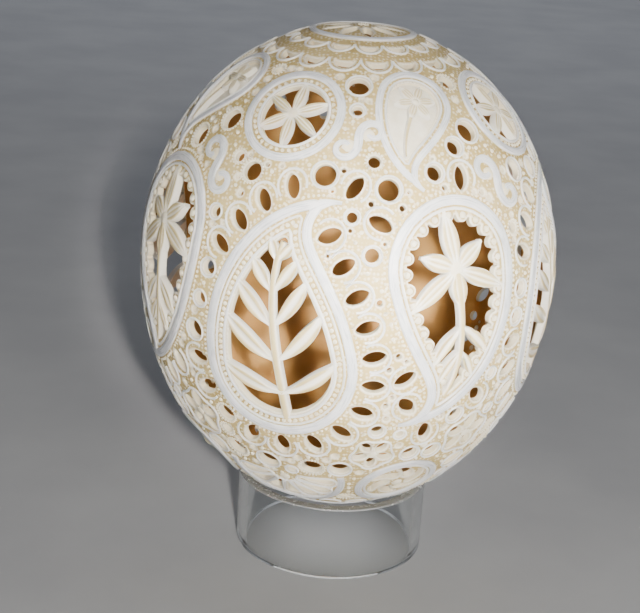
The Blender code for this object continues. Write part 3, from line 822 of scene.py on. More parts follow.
# %% [markdown]
# ## Lace round the ends
# Round the top of the egg run a rosette of pierced petals and two rows of pierced half-moons,
# each under its own arch. The other end has the hole through which the egg was blown out, a
# ring of petals, and a plain belt where it rests in its stand.


# %% Rosettes and half-moons
EMPTYING_HOLE_RADIUS = 8.0


def half_moons(latitude, count, distance, half_width, shift):
    """A row of pierced half-moons round a pole of the egg, each under an arch."""
    spot = (0, latitude, 0, 1)
    across = np.linspace(-1, 1, 15) * math.pi / 2
    bow = np.column_stack([np.sin(across), 1.15 * np.cos(across)]) * half_width
    sag = np.column_stack([np.sin(-across), 0.28 * np.cos(across)]) * half_width
    moon = np.vstack([bow, sag[1:-1]])
    wide = np.linspace(-1, 1, 15) * math.pi / 1.9
    arch = np.column_stack([1.55 * np.sin(wide), 1.7 * np.cos(wide)]) * half_width
    for number in range(count):
        turn = 360 / count * (number + shift) - 90
        x, y = polar(distance, turn + 90)
        cos, sin = polar(1.0, turn)
        moved, arched = (
            np.column_stack([x + s[:, 0] * cos - s[:, 1] * sin, y + s[:, 0] * sin + s[:, 1] * cos])
            for s in (moon, arch)
        )
        cut(moved[::-1], spot, FINE_PITCH)
        ridges.append((arched, 0.4, spot, False))
    claim(circle(distance + 1.75 * half_width), spot)


def rosette(latitude, count, start, stop, half_width):
    """Pierced petals round a pole of the egg."""
    spot = (0, latitude, 0, 1)
    for petal in range(count):
        heading = 360 / count * petal
        path = spine(*polar(start, heading), heading, stop - start)
        cut(outline(path, swell(half_width, 0.9)), spot, 0.7)


def lace_round_the_ends():
    top, bottom = (0, 90, 0, 1), (0, -90, 0, 1)
    rosette(90, 9, 4.0, 12.5, 1.7)
    beads.append((np.vstack([np.zeros((1, 2)), circle(1.25, count=6)]), 0.45, top))
    closed_band(circle(15.4), 1.0, top)
    half_moons(90, 15, 19.5, 2.5, 0.5)
    half_moons(90, 18, 27.5, 3.0, 0.0)
    windows.append(lay(circle(EMPTYING_HOLE_RADIUS, count=60), bottom))
    closed_band(circle(9.8), 0.9, bottom)
    rosette(-90, 10, 11.5, 18.0, 1.8)
    closed_band(circle(20.6, count=90), 1.0, bottom)
    half_moons(-90, 24, 32.6, 2.2, 0.0)


lace_round_the_ends()
print(len(windows), "openings round the two ends")

# %% [markdown]
# ## The whole design
# Four repeats go round the egg. No two are quite alike in place, turn and size, as a hand
# would leave them. Small pierced almonds, each under its own arch, then fill in round both
# kinds of paisley, and are left out where a neighbour is too close.

# %% Lay out the four repeats
BLOSSOM_PLACES = ((43, -29, 0, 1.0), (12, -32.5, 36, 0.8))
REPEATS = (  # longitude, rise, turn and size of each
    (0, 0, 0, 1.0),
    (91.5, 2, 6, 0.97),
    (178, -1, -5, 1.03),
    (271, 1.5, 3, 0.99),
)
bodies = []  # (body or radius, spot) of each motif that keeps the almonds off


def lay_out(longitude, latitude, turn, size):
    sprig = (longitude - 16, latitude - 10, 8 + turn, size)
    daisy = (longitude + 29, latitude + 13, 10 - turn, size)
    star = (longitude - 24, 47, turn, 1)
    drop = (longitude + 24, 52.5, -30 + turn, 1)
    wheel = (longitude + 26, -46, 0, 1)
    sprig_paisley(sprig)
    daisy_paisley(daisy)
    star_medallion(star)
    small_drop(drop)
    comma_wheel(wheel)
    fan((longitude - 18, -44, 180, 1.2))
    scroll((longitude - 44, 31, 78, 1), 330)
    scroll((longitude + 1, 42, 90, 0.85), -330)
    bodies.extend([(SPRIG_BODY, sprig), (DAISY_BODY, daisy), (STAR_RADIUS, star)])
    bodies.extend([(DROP_BODY, drop), (WHEEL_RADIUS, wheel)])
    for east, *rest in BLOSSOM_PLACES:
        flower = (longitude + east, *rest)
        blossom(flower)
        bodies.append((BLOSSOM_RADIUS, flower))


for repeat in REPEATS:
    lay_out(*repeat)
print(len(windows), "openings,", len(leaves), "leaves,", len(bands), "bands")

# %% [markdown]
# An almond is set wherever it keeps off its neighbours. The gaps are measured straight through
# space from point to point, as with dividers, since the motifs lie on drawings of their own.

# %% Almonds round the paisleys
ALMOND_PITCH = 9.8
ALMOND_OUTSET = 5.2
ALMOND_CLEARANCE = 5.3
ALMOND_LENGTH = 7.2
ARCH_RADIUS = 4.5


def stroke_discs(body, spot):
    """A paisley or a round motif as discs in space, to measure how near another comes."""
    path, radius = np.zeros((1, 2)), np.array([body])
    if isinstance(body, tuple):
        path, radius = paisley_body(body, 60)
    return on_egg(lay(path, spot)), spot[3] * radius


def almonds_round(index, placed):
    """Almonds along a paisley's edge, where they keep off its neighbours."""
    body, spot = bodies[index]
    others = [stroke_discs(*other) for other in bodies[:index] + bodies[index + 1 :]]
    ribbons = [on_egg(lay(path, where)) for path, _, where, closed in bands if not closed]
    middles, headings = beside(*paisley_body(body, 60), ALMOND_OUTSET, ALMOND_PITCH)
    for middle, heading in zip(middles, headings - 90):
        here = on_egg(lay(middle[None, :], spot))[0]
        gaps = [np.min(np.linalg.norm(points - here, axis=1) - size) for points, size in others]
        ribbon_gaps = [np.min(np.linalg.norm(points - here, axis=1)) for points in ribbons]
        beside_another = any(np.linalg.norm(here - o) < ALMOND_PITCH - 1 for o in placed)
        crowded = body is DAISY_BODY and min(ribbon_gaps) < ALMOND_CLEARANCE
        if min(gaps) < ALMOND_CLEARANCE or crowded or beside_another:
            continue
        placed.append(here)
        start = middle - 3.8 * np.array(polar(1.0, heading))
        cut(outline(spine(*start, heading, ALMOND_LENGTH), swell(2.1, least=0.2)), spot, FINE_PITCH)
        ridges.append((arc(middle, ARCH_RADIUS, heading, 118, 17), 0.4, spot, False))
        claim(circle(ARCH_RADIUS, *middle, count=24), spot)


placed_almonds = []
for wanted in (SPRIG_BODY, DAISY_BODY):
    for index, (body, _) in enumerate(bodies):
        if body is wanted:
            almonds_round(index, placed_almonds)
print(len(placed_almonds), "almonds")

# %% [markdown]
# ## Drilled dots
# What is left between the motifs is drilled with round holes, the largest that fit. A carver
# sets these by eye. Here the widest free spot is found among many thousands spread over the
# egg, a dot is put there, and the search goes on until only specks would fit.


# %% Find the free spots
def spread_evenly(count):
    """Places spread evenly over the egg in one long spiral."""
    number = np.arange(count) + 0.5
    golden = math.pi * (3 - math.sqrt(5))
    longitude = (number * golden) % (2 * math.pi) - math.pi
    return np.column_stack([longitude, np.arcsin(1 - 2 * number / count)])


def tree_of(points):
    tree = kdtree.KDTree(len(points))
    for index, point in enumerate(points):
        tree.insert(point, index)
    tree.balance()
    return tree


def shut_off(places, shapes):
    """Which places lie inside any of these shapes. One that rings the far pole is turned round."""
    flat = to_sheet(places)
    found = np.zeros(len(places), bool)
    for shape in shapes:
        rings_pole = shape[:, 1].mean() < 0 and inside(np.zeros((1, 2)), to_sheet(shape))[0]
        if rings_pole:
            found |= places[:, 1] < shape[:, 1].max()
        else:
            found |= inside(flat, to_sheet(shape))
    return found


def rim_points(shapes, pitch):
    """Points along outlines on the egg, no further apart than the pitch."""
    made = []
    for shape in shapes:
        ends = on_egg(shape)
        for start, stop in zip(ends, np.roll(ends, -1, axis=0)):
            parts = max(1, int(np.linalg.norm(stop - start) / pitch))
            made.append(start + (stop - start) * (np.arange(parts) / parts)[:, None])
    return np.vstack(made)


CANDIDATES = 26000
SPARED_EDGE = 0.7  # left whole round every opening and motif
LARGEST_DOT = 3.1
LEAST_RINGED_DOT = 1.15
SMALLEST_DOT = 0.5
LARGEST_SPECK = 0.95
LARGEST_SPECK_BEAD = 0.6
DOT_REACH = 6  # a new dot takes room from no spot further off than this
DOT_RING = 0.75  # from a ringed dot's edge to the middle of its ring


def widest_spots(room, places, least, most, margin, wall):
    """The widest free spots, one after another: places and radii. The room left is kept up."""
    points = on_egg(places)
    near = tree_of(points)
    made = []
    while room.max() > least + margin:
        best = int(np.argmax(room))
        radius = min(room[best] - margin, most)
        made.append((places[best], radius))
        for _, index, distance in near.find_range(points[best], radius + most + DOT_REACH):
            room[index] = min(room[index], distance - radius - margin - wall)
    return made


def spot_of(place):
    return math.degrees(place[0]), math.degrees(place[1]), 0, 1


def drill(place, radius):
    """A round hole right through."""
    count = max(10, round(2 * math.pi * radius / 0.75))
    windows.append(lay(circle(radius, count=count), spot_of(place)))


candidates = spread_evenly(CANDIDATES)
rims = tree_of(rim_points(taken_up + windows, 0.7))
room = np.array([rims.find(point)[2] for point in on_egg(candidates)]) - SPARED_EDGE
room[shut_off(candidates, taken_up + windows)] = 0
ringed = widest_spots(
    room, candidates, LEAST_RINGED_DOT, LARGEST_DOT, margin=DOT_RING + 0.35, wall=0.25
)
specks = widest_spots(room, candidates, SMALLEST_DOT, LARGEST_SPECK, margin=0.0, wall=0.95)
for number, (place, radius) in enumerate(ringed):
    drill(place, radius)
    if number % 3:
        closed_ridge(circle(radius + DOT_RING), spot_of(place), 0.34)
    else:
        count = round(2 * math.pi * (radius + DOT_RING) / 0.95)
        beads.append((circle(radius + DOT_RING, count=count), 0.38, spot_of(place)))
for number, (place, radius) in enumerate(specks):
    if number % 2:
        drill(place, radius)
    else:
        boss(min(radius, LARGEST_SPECK_BEAD), spot_of(place))
print(len(ringed), "ringed dots,", len(specks), "specks,", len(windows), "openings in all")

# %% [markdown]
# The pearls outside the paisleys' bands are set last, where no neighbour is in their way.

# %% Set the loose pearls
for points, radius, spot in loose_pearls:
    free = ~shut_off(lay(points, spot), taken_up + windows)
    beads.append((points[free], radius, spot))
print(sum(len(points) for points, *_ in beads), "beads in all")

# %% [markdown]
# ## What is cut through and what is only sunk
# Through the front windows the egg's inside shows plain and brown, with no light in it, so the
# middle of its back can't be pierced. There the same openings are only sunk into the shell.

# %% Leave the middle of the back blind
BLIND_HALF_WIDTH = 47  # degrees of longitude to each side of the back
BLIND_LATITUDES = (-60, 25)


def blind(shape):
    x, y, z = on_egg(shape).mean(axis=0)
    longitude = math.degrees(math.atan2(x, y))
    latitude = math.degrees(math.atan2(z * EGG_HALF_WIDTH, math.hypot(x, y) * reach_of(z)))
    return abs(longitude) < BLIND_HALF_WIDTH and BLIND_LATITUDES[0] < latitude < BLIND_LATITUDES[1]


sunk = hollows + [shape for shape in windows if blind(shape)]
windows = [shape for shape in windows if not blind(shape)]
print(len(windows), "openings cut through,", len(sunk), "only sunk")

# %% [markdown]
# ## The pierced shell
# The shell is one sheet with hundreds of holes, inside and out, joined by the cut walls. Flat
# triangles are filled between the outlines on the unrolled sheet and wrapped onto the egg. A
# Boolean for each hole would take far longer and leave ragged edges. Two rows of points just
# inside each edge let the edge roll over softly, as sanding leaves it.

# %% Points of the outer and the inner face
ROLL_OVER = ((0.35, 0.05), (0.9, 0.0))  # distance in from an edge, and how far it drops there
EDGE_DROP = 0.3
WORN_ROW = 0.7  # how worn the first of those rows is, where the edge itself is 1
WALL_RING = 0.55  # how far down the cut wall its middle ring of points lies
SUNK_DEPTH = 1.05  # from the carved ground to the floor of a sunk field
OUTER_PITCH = 1.8
INNER_PITCH = 4.5
FLOOR_PITCH = 2.4


def beyond_edges(loops, distance):
    """Places on the shell a distance outside each opening."""
    made = []
    for loop in loops:
        points = on_egg(loop)
        along = np.roll(points, -1, axis=0) - np.roll(points, 1, axis=0)
        out = points - on_egg(loop, 1.0)
        away = np.cross(along, out)
        made.append(points + distance * away / np.linalg.norm(away, axis=1)[:, None])
    return to_places(np.vstack(made))


def clear_of(places, loops, least):
    """The places that are no nearer than this to a loop's edge."""
    rims = tree_of(np.vstack([on_egg(loop) for loop in loops]))
    return places[np.array([rims.find(point)[2] for point in on_egg(places)]) > least]


def even_places(pitch):
    area = 4 * math.pi * EGG_HALF_WIDTH * (EGG_REACH_UP + EGG_REACH_DOWN) / 2
    return spread_evenly(round(area / pitch**2 / 0.866))


openings = windows + sunk
outer_extra = [clear_of(beyond_edges(openings, far), openings, 0.88 * far) for far, _ in ROLL_OVER]
outer_extra.append(clear_of(even_places(OUTER_PITCH), openings, ROLL_OVER[-1][0] + 0.6))
outer_extra = [places[~shut_off(places, openings)] for places in outer_extra]
outer_drop = np.repeat([drop for _, drop in ROLL_OVER] + [0.0], [len(p) for p in outer_extra])
outer_extra = np.vstack(outer_extra)
inner_extra = clear_of(even_places(INNER_PITCH), windows, 0.35 * INNER_PITCH)
inner_extra = inner_extra[~shut_off(inner_extra, windows)]
floor_extra = clear_of(even_places(FLOOR_PITCH), sunk, 0.35 * FLOOR_PITCH)
floor_extra = floor_extra[shut_off(floor_extra, sunk)]
print(len(outer_extra), "points outside,", len(inner_extra), "inside,", len(floor_extra), "sunk")

# %% [markdown]
# A Delaunay triangulation joins points with the fattest triangles that there are, and keeps the
# edges that it is told to. Blender has one built in. Here those edges are the outlines, so each
# triangle lies either inside an opening or outside all of them.


# %% Fill the sheet
def fill_sheet(loops, extra, within=False):
    """Triangles on the sheet between closed loops, or within them, with extra places. Their
    corners are numbered as the loops' points and then the extra ones come."""
    outlines = [to_sheet(loop) for loop in loops]
    corners = [Vector(p) for loop in outlines for p in loop] + [Vector(p) for p in to_sheet(extra)]
    links, first = [], 0
    for loop in outlines:
        links += [(first + i, first + (i + 1) % len(loop)) for i in range(len(loop))]
        first += len(loop)
    found, _, faces, origin, *_ = delaunay_2d_cdt(corners, links, [], 0, 1e-7)
    flat = np.array([tuple(corner) for corner in found])
    faces = np.array(faces)
    middles = flat[faces].mean(axis=1)
    hole = np.zeros(len(faces), bool)
    for loop in outlines:
        if not inside(np.zeros((1, 2)), loop)[0]:
            hole |= inside(middles, loop)
    first_source = np.array([min(sources) if sources else -1 for sources in origin])
    return first_source[faces[hole if within else ~hole]]


print("ready to fill", len(openings), "outlines")

# %% [markdown]
# The inner face is filled in the same way and turned over. Then rows of triangles run down the
# sides of every opening, from one face to the other, which leaves no edge open.


# %% Join the faces with walls
def walls_down(loops, upper, lower):
    """Triangle pairs from an upper ring of points to a lower one, for each loop."""
    made, first = [], 0
    for loop in loops:
        here = first + np.arange(len(loop))
        ahead = np.roll(here, -1)
        made.append(np.column_stack([here + upper, here + lower, ahead + lower]))
        made.append(np.column_stack([here + upper, ahead + lower, ahead + upper]))
        first += len(loop)
    return np.vstack(made)


def shell_mesh():
    """Points in metres, triangles, and for each 0 outside, 1 wall, 2 inside or 3 sunk floor."""
    places = np.vstack(openings)
    through = sum(len(loop) for loop in windows)
    sunk_rim = len(places) - through
    halfway = np.repeat([WALL * WALL_RING, SUNK_DEPTH], [through, sunk_rim])
    layers = [
        on_egg(places, RELIEF + EDGE_DROP),
        on_egg(outer_extra, RELIEF + outer_drop),
        on_egg(places, RELIEF + halfway),
        on_egg(places[:through], RELIEF + WALL),
        on_egg(inner_extra, RELIEF + WALL),
        on_egg(floor_extra, RELIEF + SUNK_DEPTH),
    ]
    starts = np.cumsum([0] + [len(layer) for layer in layers])
    outer = fill_sheet(openings, outer_extra)
    inner = fill_sheet(windows, inner_extra)[:, ::-1] + starts[3]
    ground = fill_sheet(sunk, floor_extra, within=True)
    on_rim = ground < sunk_rim
    ground = np.where(on_rim, ground + starts[2] + through, ground - sunk_rim + starts[5])
    upper_walls = walls_down(openings, 0, starts[2])
    walls = np.vstack([upper_walls, walls_down(windows, starts[2], starts[3])])
    faces = np.vstack([outer, walls, inner, ground])
    kind = np.repeat([0, 1, 2, 3], [len(outer), len(walls), len(inner), len(ground)])
    worn = np.zeros(starts[-1])
    worn[: starts[1]] = 1.0
    worn[starts[1] : starts[2]] = outer_drop / ROLL_OVER[0][1] * WORN_ROW
    return (np.vstack(layers) + EGG_MIDDLE) * MM, faces, kind, worn


shell_points, shell_faces, shell_kind, shell_worn = shell_mesh()
print(len(shell_faces), "triangles in the shell")

# %% [markdown]
# The points and triangles become one piece. What kind each triangle is picks its finish, and how
# worn each point is goes along as a number. The shading is smooth, save across sharp edges.


# %% Make the shell
def new_mesh_object(name, points, faces):
    mesh = bpy.data.meshes.new(name)
    mesh.from_pydata(points.tolist(), [], faces.tolist() if hasattr(faces, "tolist") else faces)
    mesh.update()
    made = bpy.data.objects.new(name, mesh)
    bpy.context.scene.collection.objects.link(made)
    return made


def note_on_points(piece, name, values):
    """Keeps a number at every point of a piece, for its finish to read."""
    layer = piece.data.attributes.new(name, "FLOAT", "POINT")
    layer.data.foreach_set("value", np.asarray(values, dtype=np.float32))


def shade_softly(piece, degrees):
    bpy.ops.object.select_all(action="DESELECT")
    piece.select_set(True)
    bpy.context.view_layer.objects.active = piece
    bpy.ops.object.shade_smooth_by_angle(angle=math.radians(degrees))


def open_edges(piece):
    counts = {}
    for face in piece.data.polygons:
        for key in face.edge_keys:
            counts[key] = counts.get(key, 0) + 1
    return sum(count != 2 for count in counts.values())


pierced_shell = new_mesh_object("pierced_shell", shell_points, shell_faces)
pierced_shell.data.polygons.foreach_set("material_index", shell_kind.astype(np.int32))
note_on_points(pierced_shell, "worn", shell_worn)
shade_softly(pierced_shell, 62)
print("open edges in the shell:", open_edges(pierced_shell))

# %% [markdown]
# ## Leaves, petals and stems
# What stands in the windows is as thick as the shell, with upright cut sides. A leaf has a
# furrow along its middle, a petal has a ridge between two furrows, and a stem is domed. One
# blank is modelled: a ring of points is filled, then drawn out in steps. It is then
# bent along the path of each leaf, as wide as the leaf is there.


# %% Model the blank
BLANK_SIDES = 20
BLANK_STEPS = 18


def take_shape():
    """The points and faces of what was just modelled, which itself is cleared away. Blender can
    list the faces in another order in each run, and start a large one elsewhere, so the faces
    are sorted, and a large one starts at its lowest point."""
    blank = bpy.context.object
    points = np.array([tuple(v.co) for v in blank.data.vertices])
    faces = [list(face.vertices) for face in blank.data.polygons]
    for face in faces:
        if len(face) > 4:
            face[:] = np.roll(face, -face.index(min(face))).tolist()
    bpy.data.objects.remove(blank, do_unlink=True)
    return points, sorted(faces)


def model_blank():
    bpy.ops.object.select_all(action="DESELECT")
    bpy.ops.mesh.primitive_circle_add(
        vertices=BLANK_SIDES, radius=1.0, fill_type="TRIFAN", rotation=(0.0, math.pi / 2, 0.0)
    )
    bpy.ops.object.transform_apply(rotation=True)
    bpy.ops.object.mode_set(mode="EDIT")
    bpy.ops.mesh.select_all(action="SELECT")
    for _ in range(BLANK_STEPS):
        bpy.ops.mesh.extrude_region_move(
            TRANSFORM_OT_translate={"value": (1.0 / BLANK_STEPS, 0.0, 0.0)}
        )
    bpy.ops.mesh.select_all(action="SELECT")
    bpy.ops.mesh.normals_make_consistent(inside=False)
    bpy.ops.object.mode_set(mode="OBJECT")
    return take_shape()


blank_points, blank_faces = model_blank()
print("blank:", len(blank_points), "points,", len(blank_faces), "faces")

# %% [markdown]
# The blank's round section becomes a leaf's: flat below, upright at the sides, shaped above.
# Along x it runs from 0 to 1, across it from -1 to 1, and the height is a depth below the skin.

# %% Bend it along each leaf
TOP_POINTS = (0.0, 0.31, 0.59, 0.81, 0.95, 1.0)  # from the middle of a leaf out to its side
LEAF_TOPS = {  # depth below the skin at each of them
    "leaf": (0.52, 0.34, 0.1, 0.06, 0.3, 0.75),
    "petal": (0.12, 0.42, 0.1, 0.16, 0.42, 0.8),
    "stem": (0.1, 0.13, 0.22, 0.36, 0.6, 0.75),
    "relief": (0.14, 0.34, 0.16, 0.24, 0.46, 0.8),
}
LEAF_DEPTH = RELIEF + WALL - 0.15


def bend_blank(path, radius, spot, kind):
    """The blank bent along one leaf: points in millimetres from the egg's middle."""
    along, across, height = blank_points.T
    at = along * (len(path) - 1)
    number = np.arange(len(path))
    middle = points_at(at, number, path)
    step = np.gradient(path, axis=0)
    step = step / np.hypot(*step.T)[:, None]
    ahead = points_at(at, number, step)
    side = to_left(ahead)
    wide = np.interp(at, number, radius)
    top = np.interp(np.abs(across), TOP_POINTS, LEAF_TOPS[kind])
    full = np.clip(1.25 * wide / radius.max(), 0, 1) if kind != "stem" else 1.0
    top = RELIEF + (top - RELIEF) * full
    above = height >= -0.02
    below_out = np.sign(across) * np.minimum(np.abs(across) * 1.6, 1.0)
    flat = middle + (wide * np.where(above, across, below_out))[:, None] * side
    depth = np.where(above, top, LEAF_DEPTH)
    return on_egg(lay(flat, spot), depth), np.where(above, top, 1.0)


def heap(parts):
    """Many (points, faces) as one, in metres round the egg's middle."""
    points, faces, first = [], [], 0
    for part_points, part_faces in parts:
        points.append(part_points)
        faces += [[first + corner for corner in face] for face in part_faces]
        first += len(part_points)
    return (np.vstack(points) + EGG_MIDDLE) * MM, faces


bent = [bend_blank(*leaf) for leaf in leaves]
leaf_sprays = new_mesh_object("leaf_sprays", *heap([(points, blank_faces) for points, _ in bent]))
note_on_points(leaf_sprays, "depth", np.concatenate([depth for _, depth in bent]))
shade_softly(leaf_sprays, 50)
print("leaves:", len(leaves), "open edges:", open_edges(leaf_sprays))

# %% [markdown]
# ## Bands and ridges
# The bands are what the carver left of the outer skin: flat, smooth and rounded at the edges.
# The ridges are like threads. Both follow a path, so a cross-section is carried along it. A
# curve with a bevel would twist as it goes over the egg, so the sections are set square to the
# shell one by one, and the faces joined between them.


# %% Cross-sections, from the left over the top to the right
def mirrored(half):
    """A whole section from its left half, as (across, depth) from the foot to the top."""
    return np.array([*half, *[(-across, depth) for across, depth in reversed(half) if across]])


BAND_SECTION = mirrored([(1.0, 1.0), (1.0, 0.42), (0.93, 0.16), (0.8, 0.06), (0.3, 0.02)])
RIDGE_SECTION = mirrored([(1.0, 1.0), (1.0, 0.66), (0.7, 0.36), (0.0, 0.22)])


def carry(section, path, half_width, spot, closed):
    """Sections set along a path: points, quads with end caps, each quad corner's place along
    and across the strip in millimetres, and each point's depth."""
    if closed:
        step = np.roll(path, -1, axis=0) - np.roll(path, 1, axis=0)
    else:
        step = np.gradient(path, axis=0)
    side = to_left(step) / np.hypot(*step.T)[:, None]
    wide = np.broadcast_to(half_width, len(path))
    across, depth = section.T
    flat = path[:, None] + (wide[:, None] * across)[:, :, None] * side[:, None]
    depth = np.broadcast_to(depth, flat.shape[:2]).reshape(-1)
    points = on_egg(lay(flat.reshape(-1, 2), spot), depth)
    stations, sides = flat.shape[:2]
    i, j = np.meshgrid(
        np.arange(stations if closed else stations - 1), np.arange(sides), indexing="ij"
    )
    i, j = i.ravel(), j.ravel()
    i_next, j_next = (i + 1) % stations, (j + 1) % sides
    quads = np.column_stack(
        [i * sides + j, i * sides + j_next, i_next * sides + j_next, i_next * sides + j]
    )
    run = np.append(runs(path), runs(np.vstack([path, path[:1]]))[-1])
    v = across * wide.mean()
    around = ((i, j), (i, j_next), (i + 1, j_next), (i + 1, j))
    corners = np.stack([np.column_stack([run[a], v[b]]) for a, b in around], axis=1)
    faces = quads.tolist()
    strips = corners.reshape(-1, 2)
    if not closed:
        faces += [list(range(sides))[::-1], list(range((stations - 1) * sides, stations * sides))]
        strips = np.vstack([strips, np.zeros((2 * sides, 2))])
    return points, faces, strips, depth


def strips_object(name, section, paths):
    made = [carry(section, *path) for path in paths]
    piece = new_mesh_object(name, *heap([(points, faces) for points, faces, *_ in made]))
    layer = piece.data.uv_layers.new(name="along_the_strip")
    layer.data.foreach_set("uv", np.vstack([part[2] for part in made]).ravel().tolist())
    note_on_points(piece, "depth", np.concatenate([part[3] for part in made]))
    return piece


raised_bands = strips_object("raised_bands", BAND_SECTION, bands)
shade_softly(raised_bands, 50)
print("bands:", len(raised_bands.data.polygons), "faces,", open_edges(raised_bands), "open edges")

# %% [markdown]
# The fine ridges are carried in the same way, with a section like half a thread.

# %% The fine ridges
fine_ridges = strips_object("fine_ridges", RIDGE_SECTION, ridges)
shade_softly(fine_ridges, 50)
print("ridges:", len(fine_ridges.data.polygons), "faces,", open_edges(fine_ridges), "open edges")

# %% [markdown]
# ## Beads
# The beads are small domes left standing. One is modelled as a sphere cut off a little below
# its middle, and set at each place, square to the shell and at its own size. With so many of
# them, each has few faces.


# %% Model one bead and set them all
BEAD_FOOT = -0.3  # sunk into the ground by this share of its radius
TALLEST_BEAD = 0.66  # just under the relief, so that no bead stands out of the skin


def model_bead():
    bpy.ops.object.select_all(action="DESELECT")
    bpy.ops.mesh.primitive_uv_sphere_add(segments=9, ring_count=6, radius=1.0)
    bpy.ops.object.mode_set(mode="EDIT")
    bpy.ops.mesh.select_all(action="SELECT")
    bpy.ops.mesh.bisect(
        plane_co=(0, 0, BEAD_FOOT), plane_no=(0, 0, 1), use_fill=True, clear_inner=True
    )
    bpy.ops.object.mode_set(mode="OBJECT")
    return take_shape()


def set_beads(blank, rows):
    points, faces = blank
    made = []
    for places, radius, spot in rows:
        laid = lay(places, spot)
        middles = on_egg(laid, RELIEF)
        outs = on_egg(laid, RELIEF - 1.0) - middles
        for middle, out in zip(middles, outs):
            east = np.cross([0.0, 0.0, 1.0], out)
            if np.linalg.norm(east) < 1e-6:
                east = np.array([1.0, 0.0, 0.0])
            east = east / np.linalg.norm(east)
            basis = np.stack([east, np.cross(out, east), out])
            tall = min(radius, TALLEST_BEAD)
            made.append((middle + (points * [radius, radius, tall]) @ basis, faces))
    return made


bead_parts = set_beads(model_bead(), beads)
bead_rows = new_mesh_object("bead_rows", *heap(bead_parts))
shade_softly(bead_rows, 60)
print(len(bead_parts), "beads,", open_edges(bead_rows), "open edges")

# %% [markdown]
# ## The clear ring
# The stand is a short length of clear acrylic tube, sawn from a longer one. A circle is
# extruded into a tube, thickened, and its sharp edges are broken with a small bevel, which is
# what makes the rims sparkle. Clear walls show every fault of shading: if they were shaded
# round into the bevel they would bend light as a lens does, so they are kept apart from it.


# %% Model the ring
RING_EDGE = 0.4
RING_SIDES = 160


def model_ring():
    bpy.ops.object.select_all(action="DESELECT")
    bpy.ops.mesh.primitive_circle_add(
        vertices=RING_SIDES, radius=RING_RADIUS * MM, fill_type="NOTHING", location=(0, 0, 0)
    )
    ring = bpy.context.object
    ring.name = "clear_ring"
    bpy.ops.object.mode_set(mode="EDIT")
    bpy.ops.mesh.select_all(action="SELECT")
    bpy.ops.mesh.extrude_region_move(
        TRANSFORM_OT_translate={"value": (0, 0, RING_HEIGHT * MM)}
    )
    bpy.ops.mesh.select_all(action="SELECT")
    bpy.ops.mesh.normals_make_consistent(inside=False)
    bpy.ops.object.mode_set(mode="OBJECT")
    wall = ring.modifiers.new("wall", "SOLIDIFY")
    wall.thickness = RING_WALL * MM
    wall.offset = -1.0
    wall.use_even_offset = True
    bpy.ops.object.modifier_apply(modifier="wall")
    edge = ring.modifiers.new("edge", "BEVEL")
    edge.width = RING_EDGE * MM
    edge.segments = 3
    edge.limit_method = "ANGLE"
    edge.angle_limit = math.radians(60)
    bpy.ops.object.modifier_apply(modifier="edge")
    return ring


def is_rim(face):
    """Whether a face of the ring lies on its sawn top or on the top's broken edges."""
    return face.center.z > (RING_HEIGHT - 1.1 * RING_EDGE) * MM


clear_ring = model_ring()
for face in clear_ring.data.polygons:
    face.material_index = int(is_rim(face))
shade_softly(clear_ring, 10)
print("ring:", in_mm(clear_ring.dimensions), "mm")
print("open edges:", open_edges(clear_ring))

# %% [markdown]
# ## Eggshell
# Ostrich eggshell is nearly all calcite, cream on its skin and whiter where it is freshly cut.
# The ground is stippled with a fine burr, which leaves rows of tiny beads about a millimetre
# across. Through the windows the shell's inside shows, warm and darker: that brown is painted
# shade for the dim light inside, as the real inside is paler. Each gets a finish of its own,
# and they share the slow drift in colour that a natural thing has.


# %% Carved ground
PEARL_SIZE = 0.0012  # metres from one pearl of the ground to the next


def drift(tree, size):
    """A slow noise with patches of about this many metres."""
    place = node(tree, "ShaderNodeTexCoord", {}).outputs["Object"]
    sockets = {"Vector": place, "Scale": 1.0 / size, "Detail": 3.0, "Roughness": 0.6}
    return place, node(tree, "ShaderNodeTexNoise", sockets).outputs["Fac"]


def noted(tree, name):
    """What a piece keeps at its points under this name."""
    return node(tree, "ShaderNodeAttribute", {}, attribute_name=name).outputs["Fac"]


def carved_ground():
    finish, tree, shader = new_finish("carved_ground")
    place, patches = drift(tree, 0.012)
    pearls = node(
        tree,
        "ShaderNodeTexVoronoi",
        {"Vector": place, "Scale": 1.0 / PEARL_SIZE, "Randomness": 0.5},
        feature="F1",
    ).outputs["Distance"]
    dome = fade(tree, pearls, 0.12, 0.48, 1.0, 0.0)
    worn = fade(tree, noted(tree, "worn"), 0.1, 0.9)
    cream = blend_colours(tree, fade(tree, patches, 0.35, 0.65), "C2A967", "D0BA80")
    pearled = blend_colours(tree, dome, cream, "F1E7CB")
    tree.links.new(blend_colours(tree, worn, pearled, "F6F0E0"), shader.inputs["Base Color"])
    rough = fade(tree, dome, 0.0, 1.0, 0.62, 0.45)
    tree.links.new(rough, shader.inputs["Roughness"])
    emboss(tree, shader, dome, 0.8, 0.25 * MM)
    shader.inputs["Specular IOR Level"].default_value = 0.45
    return finish


print("pearls of the ground:", in_mm([PEARL_SIZE]), "mm")

# %% [markdown]
# The cut walls, the lining and the sunk floors are bare shell: two near colours that drift from
# one to the other in patches, under a grain of their own. The lining's two browns are painted
# shade, darker than the real inside.


# %% Walls, lining and sunk floors
def bare_shell(name, patch, colours, grains, raised, roughness, bounds=(0.3, 0.7)):
    """Shell in two colours that drift in patches, with grains raised by (strength, metres)."""
    finish, tree, shader = new_finish(name)
    place, patches = drift(tree, patch)
    colour = blend_colours(tree, fade(tree, patches, *bounds), *colours)
    tree.links.new(colour, shader.inputs["Base Color"])
    emboss(tree, shader, grain(tree, place, *grains), *raised)
    shader.inputs["Roughness"].default_value = roughness
    return finish


